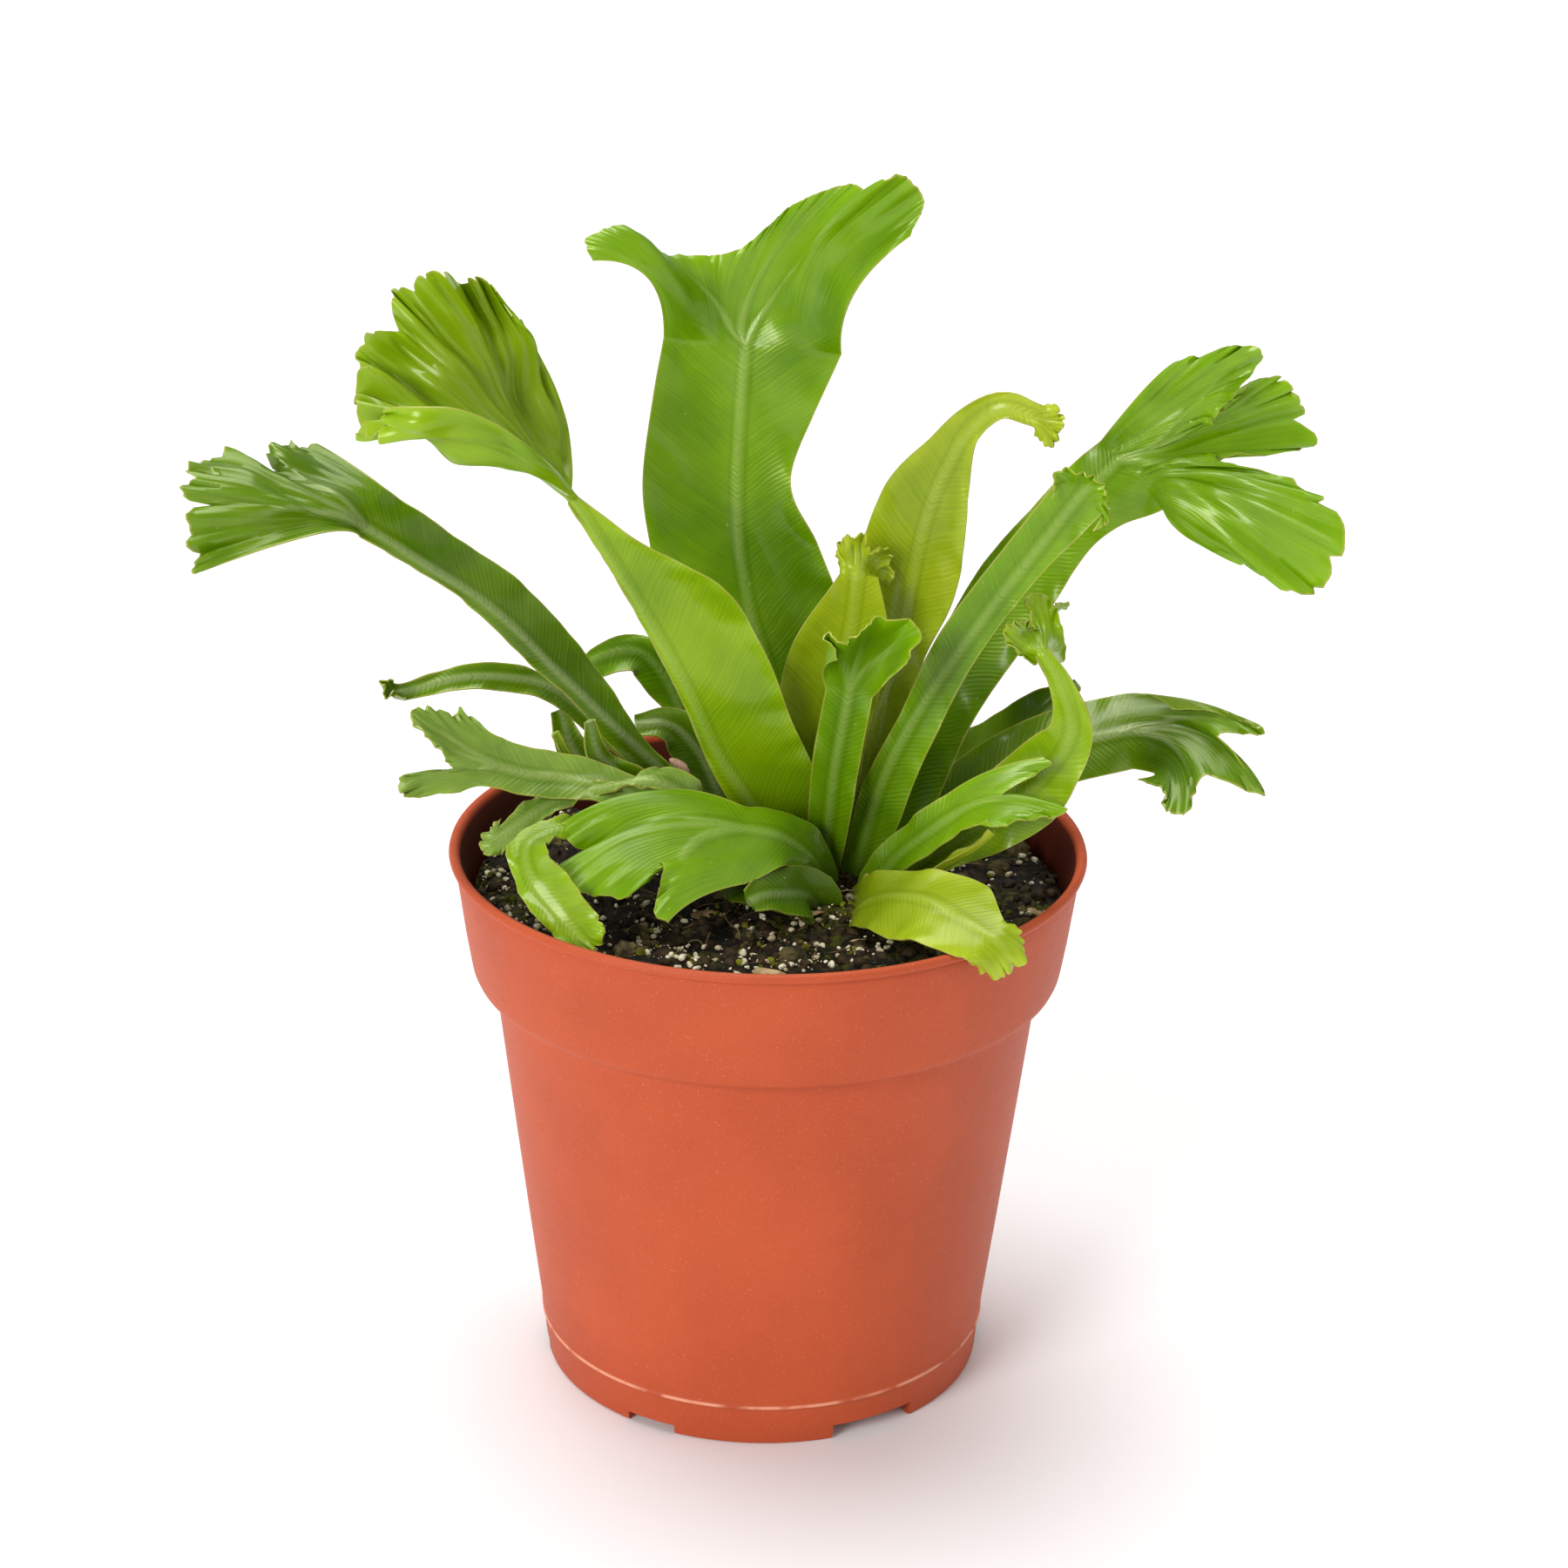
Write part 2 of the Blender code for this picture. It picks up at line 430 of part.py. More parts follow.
def add_potting_mix():
    """The mix as one body, with a socket for the crown."""
    finish = material("potting_mix", (0.020, 0.014, 0.009, 1.0), 0.95)
    inset = POT_WALL + MIX_GAP
    slope = (COLLAR_TOP_RADIUS - COLLAR_LOW_RADIUS) / (92.6 - COLLAR_LOW_HEIGHT)
    edge = COLLAR_LOW_RADIUS - inset + slope * (MIX_EDGE_HEIGHT - COLLAR_LOW_HEIGHT) - 0.3
    profile = [(0, FLOOR_HEIGHT + inset), (FOOT_RADIUS - 3.0, FLOOR_HEIGHT + inset),
               (FOOT_RADIUS - 1.4, FLOOR_HEIGHT + 3.0), (BODY_TOP_RADIUS - inset - 0.2, BODY_TOP_HEIGHT),
               (BODY_TOP_RADIUS - inset - 0.2, BODY_TOP_HEIGHT + 0.9), (COLLAR_LOW_RADIUS - 2.7, COLLAR_LOW_HEIGHT + 0.4),
               (COLLAR_LOW_RADIUS - inset - 0.2, COLLAR_LOW_HEIGHT + 1.2), (edge, MIX_EDGE_HEIGHT - 0.6),
               (edge - 0.8, MIX_EDGE_HEIGHT), (30, MIX_TOP_HEIGHT), (0, MIX_TOP_HEIGHT)]
    mix = add_turned("potting_mix", profile, MIX_TURN, finish)
    radius, low = CROWN_RADIUS + MIX_GAP, CROWN_TOP_HEIGHT - CROWN_DEPTH - MIX_GAP
    socket = [(0, low), (radius, low), (radius, MIX_TOP_HEIGHT + CUT_PAST), (0, MIX_TOP_HEIGHT + CUT_PAST)]
    cut(mix, add_turned("crown_socket", socket, CROWN_TURN, finish, CROWN_CENTRE))
    return mix


def add_crown():
    """The squat stem, its top just above the mix."""
    low = CROWN_TOP_HEIGHT - CROWN_DEPTH
    profile = [(0, low), (CROWN_RADIUS - 3, low), (CROWN_RADIUS, low + 3), (CROWN_RADIUS, CROWN_TOP_HEIGHT - 0.6),
               (CROWN_RADIUS - 2, CROWN_TOP_HEIGHT + 0.2), (0, CROWN_TOP_HEIGHT + 0.2)]
    return add_turned("crown", profile, CROWN_TURN, material("crown", (0.045, 0.030, 0.014, 1.0), 0.9), CROWN_CENTRE)


for old in list(bpy.data.objects):
    bpy.data.objects.remove(old, do_unlink=True)
add_pot()
add_potting_mix()
add_crown()
for design in FRONDS:
    add_frond(design)
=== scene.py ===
"""The looks of a crested bird's-nest fern in a small nursery pot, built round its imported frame.

Lengths are in millimetres in the lists and in what a piece is called with, and in metres inside node
trees, materials and the setting.  The origin is on the pot's axis, on the plane the pot stands on.  +Z is
up and -Y is the front.
"""

import bmesh
import bpy
import numpy as np
from mathutils import Matrix, Vector


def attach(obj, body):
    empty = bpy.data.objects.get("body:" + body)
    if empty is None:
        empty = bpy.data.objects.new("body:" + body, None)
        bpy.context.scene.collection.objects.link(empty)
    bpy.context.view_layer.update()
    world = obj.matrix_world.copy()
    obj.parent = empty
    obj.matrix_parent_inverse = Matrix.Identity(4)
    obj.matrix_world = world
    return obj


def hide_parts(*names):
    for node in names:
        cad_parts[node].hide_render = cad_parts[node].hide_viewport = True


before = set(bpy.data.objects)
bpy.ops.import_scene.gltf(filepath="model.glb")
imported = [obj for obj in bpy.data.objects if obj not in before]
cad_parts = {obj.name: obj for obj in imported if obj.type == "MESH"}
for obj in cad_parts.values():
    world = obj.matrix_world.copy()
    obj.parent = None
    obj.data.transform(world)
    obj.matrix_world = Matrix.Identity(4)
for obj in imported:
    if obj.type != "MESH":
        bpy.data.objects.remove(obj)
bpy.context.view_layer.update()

# ------------------------------------------------------------
# The pot.  One thin shell of matt terracotta-coloured plastic, moulded in one shot: a tapering body,
# a wider collar, a rolled lip, a foot ring cut into lugs, and drain holes in its floor.  It stands on
# the lugs and holds everything else.
MM = 0.001


class Flow:
    """One output of a node.  Sums written on it add Math nodes, and node() adds any other kind."""

    def __init__(self, tree, socket=None):
        self.tree = tree
        self.socket = socket

    def node(self, kind, *inputs, out=0, **named):
        """A new node: inputs in order, settings in small letters, inputs by name with _ for a space."""
        made = self.tree.nodes.new(kind)
        for key, value in named.items():
            if key.islower():
                setattr(made, key, value)
        feed(made, dict(enumerate(inputs)))
        feed(made, {key: value for key, value in named.items() if not key.islower()})
        return Flow(self.tree, made.outputs[out])

    def math(self, operation, *inputs):
        return self.node("ShaderNodeMath", *inputs, operation=operation)

    def __add__(self, other):
        return self.math("ADD", self, other)

    def __sub__(self, other):
        return self.math("SUBTRACT", self, other)

    def __rsub__(self, other):
        return self.math("SUBTRACT", other, self)

    def __mul__(self, other):
        return self.math("MULTIPLY", self, other)

    def __pow__(self, other):
        return self.math("POWER", self, other)

    def __abs__(self):
        return self.math("ABSOLUTE", self)

    __radd__, __rmul__ = __add__, __mul__

    def ramp(self, start, end):
        """Smoothly from 0 at start to 1 at end."""
        return self.node("ShaderNodeMapRange", self, start, end, interpolation_type="SMOOTHSTEP")

    def tint(self, first, second):
        """The first colour, or the second where this share is one."""
        pair = [c if isinstance(c, Flow) else (*c, 1.0) for c in (first, second)]
        return self.node("ShaderNodeMix", self, *[None] * 5, *pair, out=2, data_type="RGBA")


def feed(node, inputs):
    """Join or set a node's inputs, each given by its place or by its name with _ for a space."""
    for key, value in inputs.items():
        socket = node.inputs[key if isinstance(key, int) else key.replace("_", " ")]
        if isinstance(value, Flow):
            value.tree.links.new(value.socket, socket)
        elif value is not None:
            socket.default_value = value


def finish_of(name):
    """A new material: the material, its shader node, and a Flow to start from."""
    made = bpy.data.materials.new(name)
    made.use_nodes = True
    return made, made.node_tree.nodes["Principled BSDF"], Flow(made.node_tree)


def noise_at(flow, place, scale, detail=3.0, roughness=0.5, out="Fac"):
    return flow.node("ShaderNodeTexNoise", out=out, Vector=place, Scale=scale, Detail=detail,
                     Roughness=roughness)


def place_of(flow):
    return flow.node("ShaderNodeTexCoord", out="Object")


def xyz(flow, x=0.0, y=0.0, z=0.0):
    return flow.node("ShaderNodeCombineXYZ", x, y, z)


def split(flow):
    """The three parts of a vector."""
    parts = flow.node("ShaderNodeSeparateXYZ", flow).socket.node.outputs
    return [Flow(flow.tree, part) for part in parts]


def add_object(name, data):
    """A new object in the scene."""
    made = bpy.data.objects.new(name, data)
    bpy.context.collection.objects.link(made)
    return made


def smooth_mesh(name, points, faces, finish=None):
    """A smooth mesh of points given in millimetres."""
    mesh = bpy.data.meshes.new(name)
    mesh.from_pydata((np.array(points, float) * MM).tolist(), [], faces)
    mesh.shade_smooth()
    if finish:
        mesh.materials.append(finish)
    return mesh


def keep(made, node):
    """Tell the frame what a finished piece stands for."""
    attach(made, "root")
    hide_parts(*([node] if isinstance(node, str) else node))


def grown(name, tree, finish, source, **settings):
    """A plain mesh object from a Geometry Nodes tree run on source, its inputs set by name."""
    rough = add_object(name + "_rough", source)
    grow = rough.modifiers.new("grow", "NODES")
    grow.node_group = tree
    settings["Finish"] = finish
    for item in tree.interface.items_tree:
        if item.in_out == "INPUT" and item.name in settings:
            grow[item.identifier] = settings[item.name]
    bpy.context.view_layer.update()
    ready = rough.evaluated_get(bpy.context.evaluated_depsgraph_get())
    final = bpy.data.meshes.new_from_object(ready)
    final.name = name
    bpy.data.objects.remove(rough)
    return add_object(name, final)


def new_tree(name, **inputs):
    """An empty Geometry Nodes tree with named inputs: the tree, a Flow, and the inputs by name."""
    tree = bpy.data.node_groups.new(name, "GeometryNodeTree")
    tree.interface.new_socket("Geometry", in_out="OUTPUT", socket_type="NodeSocketGeometry")
    tree.interface.new_socket("Geometry", in_out="INPUT", socket_type="NodeSocketGeometry")
    for key, value in inputs.items():
        kind = "NodeSocketInt" if isinstance(value, int) else "NodeSocketFloat"
        tree.interface.new_socket(key, in_out="INPUT", socket_type=kind).default_value = value
    tree.interface.new_socket("Finish", in_out="INPUT", socket_type="NodeSocketMaterial")
    start = tree.nodes.new("NodeGroupInput")
    return tree, Flow(tree), {socket.name: Flow(tree, socket) for socket in start.outputs if socket.name}


def close_tree(flow, geometry, finish):
    """End a tree as a plain mesh in its finish."""
    real = flow.node("GeometryNodeRealizeInstances", geometry)
    painted = flow.node("GeometryNodeSetMaterial", Geometry=real, Material=finish)
    feed(flow.tree.nodes.new("NodeGroupOutput"), {0: painted})


# Radius and height round the shell's section, from the middle of its floor out and back again.
POT_PROFILE = [
    (0, 4), (35, 4), (35.6, 3.7), (35.8, 3), (35.8, 0.3), (36.1, 0), (37.5, 0), (37.9, 0.2), (38.1, 0.8),
    (38.6, 6.6), (38.7, 7.1), (38.95, 7.3), (39.0, 7.6), (38.8, 7.9), (38.9, 8.8), (41.2, 27), (43.4, 45),
    (46.4, 70), (46.6, 71.4), (46.8, 72), (47.2, 72.5), (48.2, 72.8), (49.2, 73), (49.9, 73.5), (50.3, 74.4),
    (50.5, 75.4), (51.4, 81), (52.6, 90), (52.8, 92.5), (52.7, 93), (52.9, 93.3), (53.4, 93.4), (53.8, 93.7),
    (54, 94.2), (53.85, 94.7), (53.5, 95), (53, 95.05), (52.5, 94.85), (52.2, 94.3), (51.5, 91), (50.5, 82),
    (49.4, 75.6), (49, 74.7), (48.2, 74.1), (46.4, 73.6), (45.8, 73.1), (45.5, 72.2), (45.3, 70.6),
    (41.3, 36), (37.6, 7.2), (37, 6), (35.6, 5.2), (0, 5.2),
]
# The foot's six notches, wide and narrow by turns (width in degrees, height), and the floor's six holes.
POT_LUGS = dict(Steps=160, Notch_turn=-59.0, Wide=24.0, Wide_height=2.8, Narrow=14.0, Narrow_height=1.8,
                Foot=37.0, Drain=4.0, Drain_ring=27.0)


def pot_tree():
    """A profile turned about the axis, with its foot cut into lugs and its floor drained."""
    tree, flow, given = new_tree("pot_shell", Rows=2, **POT_LUGS)
    rows, foot = given["Rows"], given["Foot"]
    grid = flow.node("GeometryNodeMeshGrid", 1.0, 1.0, given["Steps"] + 1.0, rows)
    here = flow.node("GeometryNodeInputPosition")
    across, up, _ = split(here)
    row = flow.math("ROUND", (up + 0.5) * (rows - 1.0))
    taken = flow.node("GeometryNodeSampleIndex", data_type="FLOAT_VECTOR", domain="POINT",
                      Geometry=given["Geometry"], Value=here, Index=row)
    radius, _, height = split(taken)
    turn = (across + 0.5) * 2 * np.pi
    spot = xyz(flow, radius * flow.math("COSINE", turn), radius * flow.math("SINE", turn), height)
    shell = flow.node("GeometryNodeSetPosition", Geometry=grid, Position=spot)
    shell = flow.node("GeometryNodeMergeByDistance", Geometry=shell, Distance=0.00002)

    order = flow.node("GeometryNodeInputIndex")
    narrow = flow.math("MODULO", order, 2.0)
    points = flow.node("GeometryNodePoints", Count=6)
    bearing = xyz(flow, z=np.radians(1.0) * (given["Notch_turn"] + order * 60.0))
    wedge = flow.node("GeometryNodeMeshCube", Size=(0.009, 1.0, 1.0))
    wedge = flow.node("GeometryNodeTransform", Geometry=wedge, Translation=xyz(flow, foot * MM))
    spread = given["Wide"] + (given["Narrow"] - given["Wide"]) * narrow
    rise = given["Wide_height"] + (given["Narrow_height"] - given["Wide_height"]) * narrow
    size = xyz(flow, 1.0, np.radians(1.0) * spread * foot * MM, rise * 2 * MM)
    cutters = flow.node("GeometryNodeInstanceOnPoints", Points=points, Instance=wedge, Rotation=bearing,
                        Scale=size)
    drill = flow.node("GeometryNodeMeshCylinder", Vertices=32, Radius=given["Drain"] * MM, Depth=0.006)
    drill = flow.node("GeometryNodeTransform", Geometry=drill,
                      Translation=xyz(flow, given["Drain_ring"] * MM, 0.0, 0.0046))
    drills = flow.node("GeometryNodeInstanceOnPoints", Points=points, Instance=drill, Rotation=bearing)
    both = flow.node("GeometryNodeJoinGeometry", cutters)
    tree.links.new(drills.socket, both.socket.node.inputs[0])
    both = flow.node("GeometryNodeRealizeInstances", both)
    cut = flow.node("GeometryNodeMeshBoolean", operation="DIFFERENCE", solver="EXACT", Mesh_1=shell,
                    Mesh_2=both)
    close_tree(flow, cut, given["Finish"])
    return tree


def pot_finish():
    """Matt moulded plastic: faint clouding, a fine grain, a paler line where the mould parted, and painted
    shade inside the collar.
    """
    made, shader, flow = finish_of("pot_plastic")
    place = place_of(flow)
    x, y, height = split(place)
    cloud = noise_at(flow, place, 38.0, 4.0)
    grain = noise_at(flow, place, 900.0, 2.0)
    speck = noise_at(flow, place, 2600.0, 1.0)
    colour = cloud.ramp(0.3, 0.7).tint((0.440, 0.066, 0.017), (0.505, 0.080, 0.022))
    colour = (speck.ramp(0.62, 0.75) * 0.3).tint(colour, (0.700, 0.200, 0.110))
    colour = (grain.ramp(0.55, 0.75) * 0.35).tint(colour, (0.450, 0.075, 0.028))
    line = 1 - abs(height - 0.0076).ramp(0.0001, 0.0004)
    broken = noise_at(flow, place, 160.0, 2.0).ramp(0.35, 0.55)
    colour = (line * broken * 0.7).tint(colour, (0.900, 0.420, 0.270))
    # Painted shade: the inside wall of the collar, above the mix, is darkened to near black-brown, standing
    # in for the shade that the lip and the leaves cast in it.
    radius = flow.math("SQRT", x * x + y * y)
    mid_wall = 0.0497 + (height - 0.0742) * 0.128
    collar_shade_band = height.ramp(0.0944, 0.0936) * height.ramp(0.076, 0.078)
    colour = ((radius - mid_wall).ramp(0.0002, -0.0002) * collar_shade_band).tint(colour, (0.085, 0.011, 0.003))
    rub = noise_at(flow, flow.node("ShaderNodeMapping", Vector=place, Scale=(1.0, 1.0, 9.0)), 240.0, 2.0)
    bump = flow.node("ShaderNodeBump", Strength=0.35, Distance=0.00012, Height=grain * 0.6 + speck * 0.4)
    feed(shader, dict(Base_Color=colour, Roughness=0.42 + rub * 0.16 + cloud * 0.08, Normal=bump,
                      Specular_IOR_Level=0.3))
    return made


pot = grown("pot_shell", pot_tree(), pot_finish(),
            smooth_mesh("pot_line", [(r, 0, z) for r, z in POT_PROFILE], []), Rows=len(POT_PROFILE))
work = bmesh.new()
work.from_mesh(pot.data)
bmesh.ops.remove_doubles(work, verts=work.verts, dist=0.000005)
bmesh.ops.recalc_face_normals(work, faces=work.faces)
work.to_mesh(pot.data)
work.free()
pot.data.shade_smooth()
pot.data.set_sharp_from_angle(angle=np.radians(42))
keep(pot, "pot")

# ------------------------------------------------------------
# The potting mix.  Damp dark peat in crumbs, filled to a few millimetres below the lip and slightly
# mounded, with cream grains of perlite, tan flakes of bark, tufts of moss and broken root fibres lying
# loose on it.
BED_RADIUS = 50.0
# How many rings the mix's top has, and how many points each ring has.
BED_RINGS, BED_TURN = 110, 300
# Radius and height down the side, just inside the pot's wall.
BED_SIDE = [(49.3, 82), (48.4, 75.8), (45.0, 73.4), (44.1, 66), (38, 14), (36.4, 6.4)]


def value_noise(x, y, seed, size):
    """Smooth random height, 0 to 1, over cells of that size."""
    x, y = np.asarray(x) / size + 31.7 * seed, np.asarray(y) / size - 17.3 * seed
    i, j = np.floor(x), np.floor(y)
    u, v = x - i, y - j
    u, v = u * u * (3 - 2 * u), v * v * (3 - 2 * v)

    def cell(a, b):
        s = np.sin(a * 127.1 + b * 311.7 + seed * 74.7) * 43758.5453
        return s - np.floor(s)

    low = cell(i, j) * (1 - u) + cell(i + 1, j) * u
    high = cell(i, j + 1) * (1 - u) + cell(i + 1, j + 1) * u
    return low * (1 - v) + high * v


def bed_height(x, y):
    """Height of the mix's top, in millimetres."""
    far = np.hypot(x, y) / BED_RADIUS
    lumps = 2.6 * value_noise(x, y, 1, 17) + 1.9 * value_noise(x, y, 2, 7) + 1.1 * value_noise(x, y, 3, 3.1)
    lumps += 0.8 * np.abs(value_noise(x, y, 4, 1.9) - 0.5) + 0.5 * value_noise(x, y, 5, 0.9)
    mound = 1.6 * np.exp(-((x - 5) ** 2 + (y + 2) ** 2) / 400) - 0.055 * y
    return 85.2 + lumps + mound - 2.2 * np.clip(far - 0.93, 0, 1) / 0.07


def bed_mesh():
    """The whole body of the mix: a lumpy top, and sides and a bottom that follow the pot's inside."""
    radii = BED_RADIUS * np.linspace(0, 1, BED_RINGS + 1)[1:]
    turns = np.linspace(0, 2 * np.pi, BED_TURN, endpoint=False)
    x, y = np.outer(radii, np.cos(turns)), np.outer(radii, np.sin(turns))
    z = bed_height(x, y)
    for radius, height in BED_SIDE:
        x = np.vstack([x, radius * np.cos(turns)])
        y = np.vstack([y, radius * np.sin(turns)])
        z = np.vstack([z, np.full(BED_TURN, float(height))])
    points = [(0, 0, float(bed_height(0, 0))), *np.stack([x, y, z], -1).reshape(-1, 3).tolist(), (0, 0, 6.0)]
    faces = []
    for k in range(BED_TURN):
        n = (k + 1) % BED_TURN
        faces.append((0, 1 + k, 1 + n))
        for ring in range(len(z) - 1):
            a = 1 + ring * BED_TURN
            faces.append((a + k, a + BED_TURN + k, a + BED_TURN + n, a + n))
        last = 1 + (len(z) - 1) * BED_TURN
        faces.append((last + k, len(points) - 1, last + n))
    return smooth_mesh("mix_bed", points, faces, peat_finish())


def peat_finish():
    """Near black and damp, with brown crumbs, a tan dust on the high spots and moss-green patches."""
    made, shader, flow = finish_of("peat")
    place = place_of(flow)
    crumbs = noise_at(flow, place, 520.0, 5.0, 0.7)
    patches = noise_at(flow, place, 75.0, 3.0)
    colour = crumbs.ramp(0.42, 0.74).tint((0.0025, 0.0015, 0.0006), (0.040, 0.022, 0.008))
    dust = noise_at(flow, place, 1500.0, 2.0).ramp(0.66, 0.76) * patches.ramp(0.4, 0.65)
    colour = (dust * 0.7).tint(colour, (0.330, 0.250, 0.130))
    moss = patches.ramp(0.52, 0.62) * crumbs.ramp(0.4, 0.58)
    colour = (moss * 0.7).tint(colour, (0.070, 0.075, 0.006))
    bump = flow.node("ShaderNodeBump", Strength=0.9, Distance=0.0006, Height=crumbs)
    feed(shader, dict(Base_Color=colour, Roughness=0.55 + patches * 0.3, Normal=bump,
                      Specular_IOR_Level=0.15))
    return made


bed = add_object("potting_mix_bed", bed_mesh())
keep(bed, "potting_mix")


def shake(flow, scale, detail, roughness, centre, size):
    """An offset that wanders from place to place about a centre."""
    drift = noise_at(flow, flow.node("GeometryNodeInputPosition"), scale, detail, roughness, "Color")
    drift = flow.node("ShaderNodeVectorMath", drift, centre, operation="SUBTRACT")
    return flow.node("ShaderNodeVectorMath", drift, operation="SCALE", Scale=size)


def strewn_points(flow, given):
    return flow.node("GeometryNodeDistributePointsOnFaces", Mesh=given["Geometry"], Density=given["Count"],
                     Seed=given["Seed"])


def any_of(flow, low, high, seed):
    """A random value between two numbers or two vectors."""
    if isinstance(low, tuple):
        return flow.node("FunctionNodeRandomValue", low, high, data_type="FLOAT_VECTOR", Seed=seed)
    return flow.node("FunctionNodeRandomValue", None, None, low, high, out=1, data_type="FLOAT", Seed=seed)


def scatter_tree():
    """Uneven grains strewn over a surface, each a rough little lump turned its own way."""
    _, flow, given = new_tree("mix_scatter", Count=100.0, Small=0.5, Large=1.0, Long=1.0, Flat=1.0, Knobs=0.3,
                              Sink=0.2, Patch=0.0, Steps=2, Seed=1)
    here = flow.node("GeometryNodeInputPosition")
    x, y, height = split(here)
    bare = given["Patch"] - noise_at(flow, here, 90.0, 2.0)
    outside = flow.math("MAXIMUM", flow.math("SQRT", x * x + y * y) - 0.0488, 0.080 - height)
    drop = flow.node("FunctionNodeCompare", flow.math("MAXIMUM", bare, outside), 0.0, data_type="FLOAT",
                     operation="GREATER_THAN")
    spots = flow.node("GeometryNodeDeleteGeometry", domain="POINT", Geometry=strewn_points(flow, given),
                      Selection=drop)
    grain = flow.node("GeometryNodeMeshIcoSphere", Radius=MM, Subdivisions=given["Steps"])
    any_turn = any_of(flow, (-0.5, -0.5, 0.0), (0.5, 0.5, 6.283), given["Seed"])
    bulk = any_of(flow, 0.0, 1.0, given["Seed"] + 7.0) ** 3.0
    bulk = given["Small"] + (given["Large"] - given["Small"]) * bulk
    grains = flow.node("GeometryNodeInstanceOnPoints", Points=spots, Instance=grain, Rotation=any_turn,
                       Scale=xyz(flow, bulk * given["Long"], bulk, bulk * given["Flat"]))
    grains = flow.node("GeometryNodeRealizeInstances", grains)
    knobs = shake(flow, 700.0, 2.0, 0.6, (0.5, 0.5, 0.5), given["Knobs"] * MM)
    shift = flow.node("ShaderNodeVectorMath", knobs, xyz(flow, z=given["Sink"] * -MM), operation="ADD")
    grains = flow.node("GeometryNodeSetPosition", Geometry=grains, Offset=shift)
    close_tree(flow, grains, given["Finish"])
    return flow.tree


def grain_finish(name, dark, light, patch_scale, bump_size, roughness):
    """A crumbly matt finish between two colours."""
    made, shader, flow = finish_of(name)
    place = place_of(flow)
    body = noise_at(flow, place, patch_scale, 3.0, 0.6)
    fine = noise_at(flow, place, 2200.0, 3.0, 0.7)
    colour = (body.ramp(0.35, 0.65) * 0.75 + fine * 0.25).tint(dark, light)
    bump = flow.node("ShaderNodeBump", Strength=0.7, Distance=bump_size * MM, Height=fine)
    feed(shader, dict(Base_Color=colour, Roughness=roughness + fine * 0.15, Normal=bump,
                      Specular_IOR_Level=0.15))
    return made


def mix_top(radius=BED_RADIUS + 1):
    """A copy of the mix's top out to a radius, for what lies on it."""
    copy = bmesh.new()
    copy.from_mesh(bed.data)
    bmesh.ops.delete(copy, geom=[f for f in copy.faces if f.normal.z < 0.15], context="FACES")
    bmesh.ops.delete(copy, geom=[v for v in copy.verts if v.co.xy.length > radius * MM], context="VERTS")
    mesh = bpy.data.meshes.new("mix_top")
    copy.to_mesh(mesh)
    copy.free()
    return mesh


mix_scatter = scatter_tree()
for name, finish, strewn in (
        ("peat_crumbs",
         grain_finish("peat_crumb", (0.002, 0.0012, 0.0005), (0.048, 0.027, 0.010), 420.0, 0.2, 0.6),
         dict(Count=190000.0, Small=0.35, Large=1.5, Long=1.1, Flat=0.8, Knobs=1.1, Sink=0.15, Seed=3)),
        ("peat_clods",
         grain_finish("peat_clod", (0.003, 0.002, 0.0008), (0.110, 0.085, 0.030), 300.0, 0.3, 0.7),
         dict(Count=9000.0, Small=1.2, Large=3.2, Long=1.2, Flat=0.9, Knobs=2.8, Sink=0.6, Steps=3, Seed=11)),
        ("perlite",
         grain_finish("perlite_grain", (0.280, 0.210, 0.100), (0.800, 0.740, 0.540), 500.0, 0.15, 0.7),
         dict(Count=360000.0, Small=0.1, Large=0.62, Long=1.2, Flat=0.85, Knobs=1.0, Sink=-0.35, Patch=0.47,
              Seed=5)),
        ("bark_flakes",
         grain_finish("bark_flake", (0.130, 0.075, 0.030), (0.520, 0.360, 0.190), 420.0, 0.2, 0.75),
         dict(Count=2600.0, Small=0.6, Large=1.5, Long=2.6, Flat=0.32, Knobs=0.9, Sink=-0.4, Patch=0.4,
              Seed=8)),
        ("moss_tufts",
         grain_finish("moss", (0.035, 0.042, 0.002), (0.230, 0.220, 0.014), 330.0, 0.4, 0.85),
         dict(Count=150000.0, Small=0.2, Large=0.8, Long=1.0, Flat=1.2, Knobs=0.9, Sink=-0.2, Patch=0.53,
              Seed=13))):
    keep(grown(name, mix_scatter, finish, mix_top(), **strewn), [])


def fibre_tree():
    """Thin bent fibres lying where they fell."""
    _, flow, given = new_tree("mix_fibres", Count=100.0, Length=9.0, Thick=0.12, Seed=1)
    strand = flow.node("GeometryNodeCurvePrimitiveLine", Start=(0.0, 0.0, 0.0),
                       End=xyz(flow, given["Length"] * MM))
    strand = flow.node("GeometryNodeResampleCurve", Curve=strand, Count=12)
    strands = flow.node("GeometryNodeInstanceOnPoints", Points=strewn_points(flow, given), Instance=strand,
                        Rotation=any_of(flow, (0.0, -0.2, 0.0), (0.0, 0.1, 6.283), given["Seed"]),
                        Scale=any_of(flow, 0.3, 1.0, given["Seed"]))
    strands = flow.node("GeometryNodeRealizeInstances", strands)
    bend = shake(flow, 150.0, 1.0, 0.5, (0.5, 0.5, 0.42), 0.007)
    strands = flow.node("GeometryNodeSetPosition", Geometry=strands, Offset=bend)
    round_edge = flow.node("GeometryNodeCurvePrimitiveCircle", Resolution=5, Radius=given["Thick"] * MM)
    tubes = flow.node("GeometryNodeCurveToMesh", Curve=strands, Profile_Curve=round_edge, Fill_Caps=True)
    close_tree(flow, tubes, given["Finish"])
    return flow.tree


# The fibres keep inside this radius, so that none reaches the pot's wall.
FIBRES_WITHIN = 41
fibres = grown("root_fibres", fibre_tree(),
               grain_finish("root_fibre", (0.030, 0.018, 0.008), (0.210, 0.140, 0.070), 200.0, 0.1, 0.7),
               mix_top(FIBRES_WITHIN), Count=16000.0, Length=8.0, Thick=0.1, Seed=4)
keep(fibres, [])

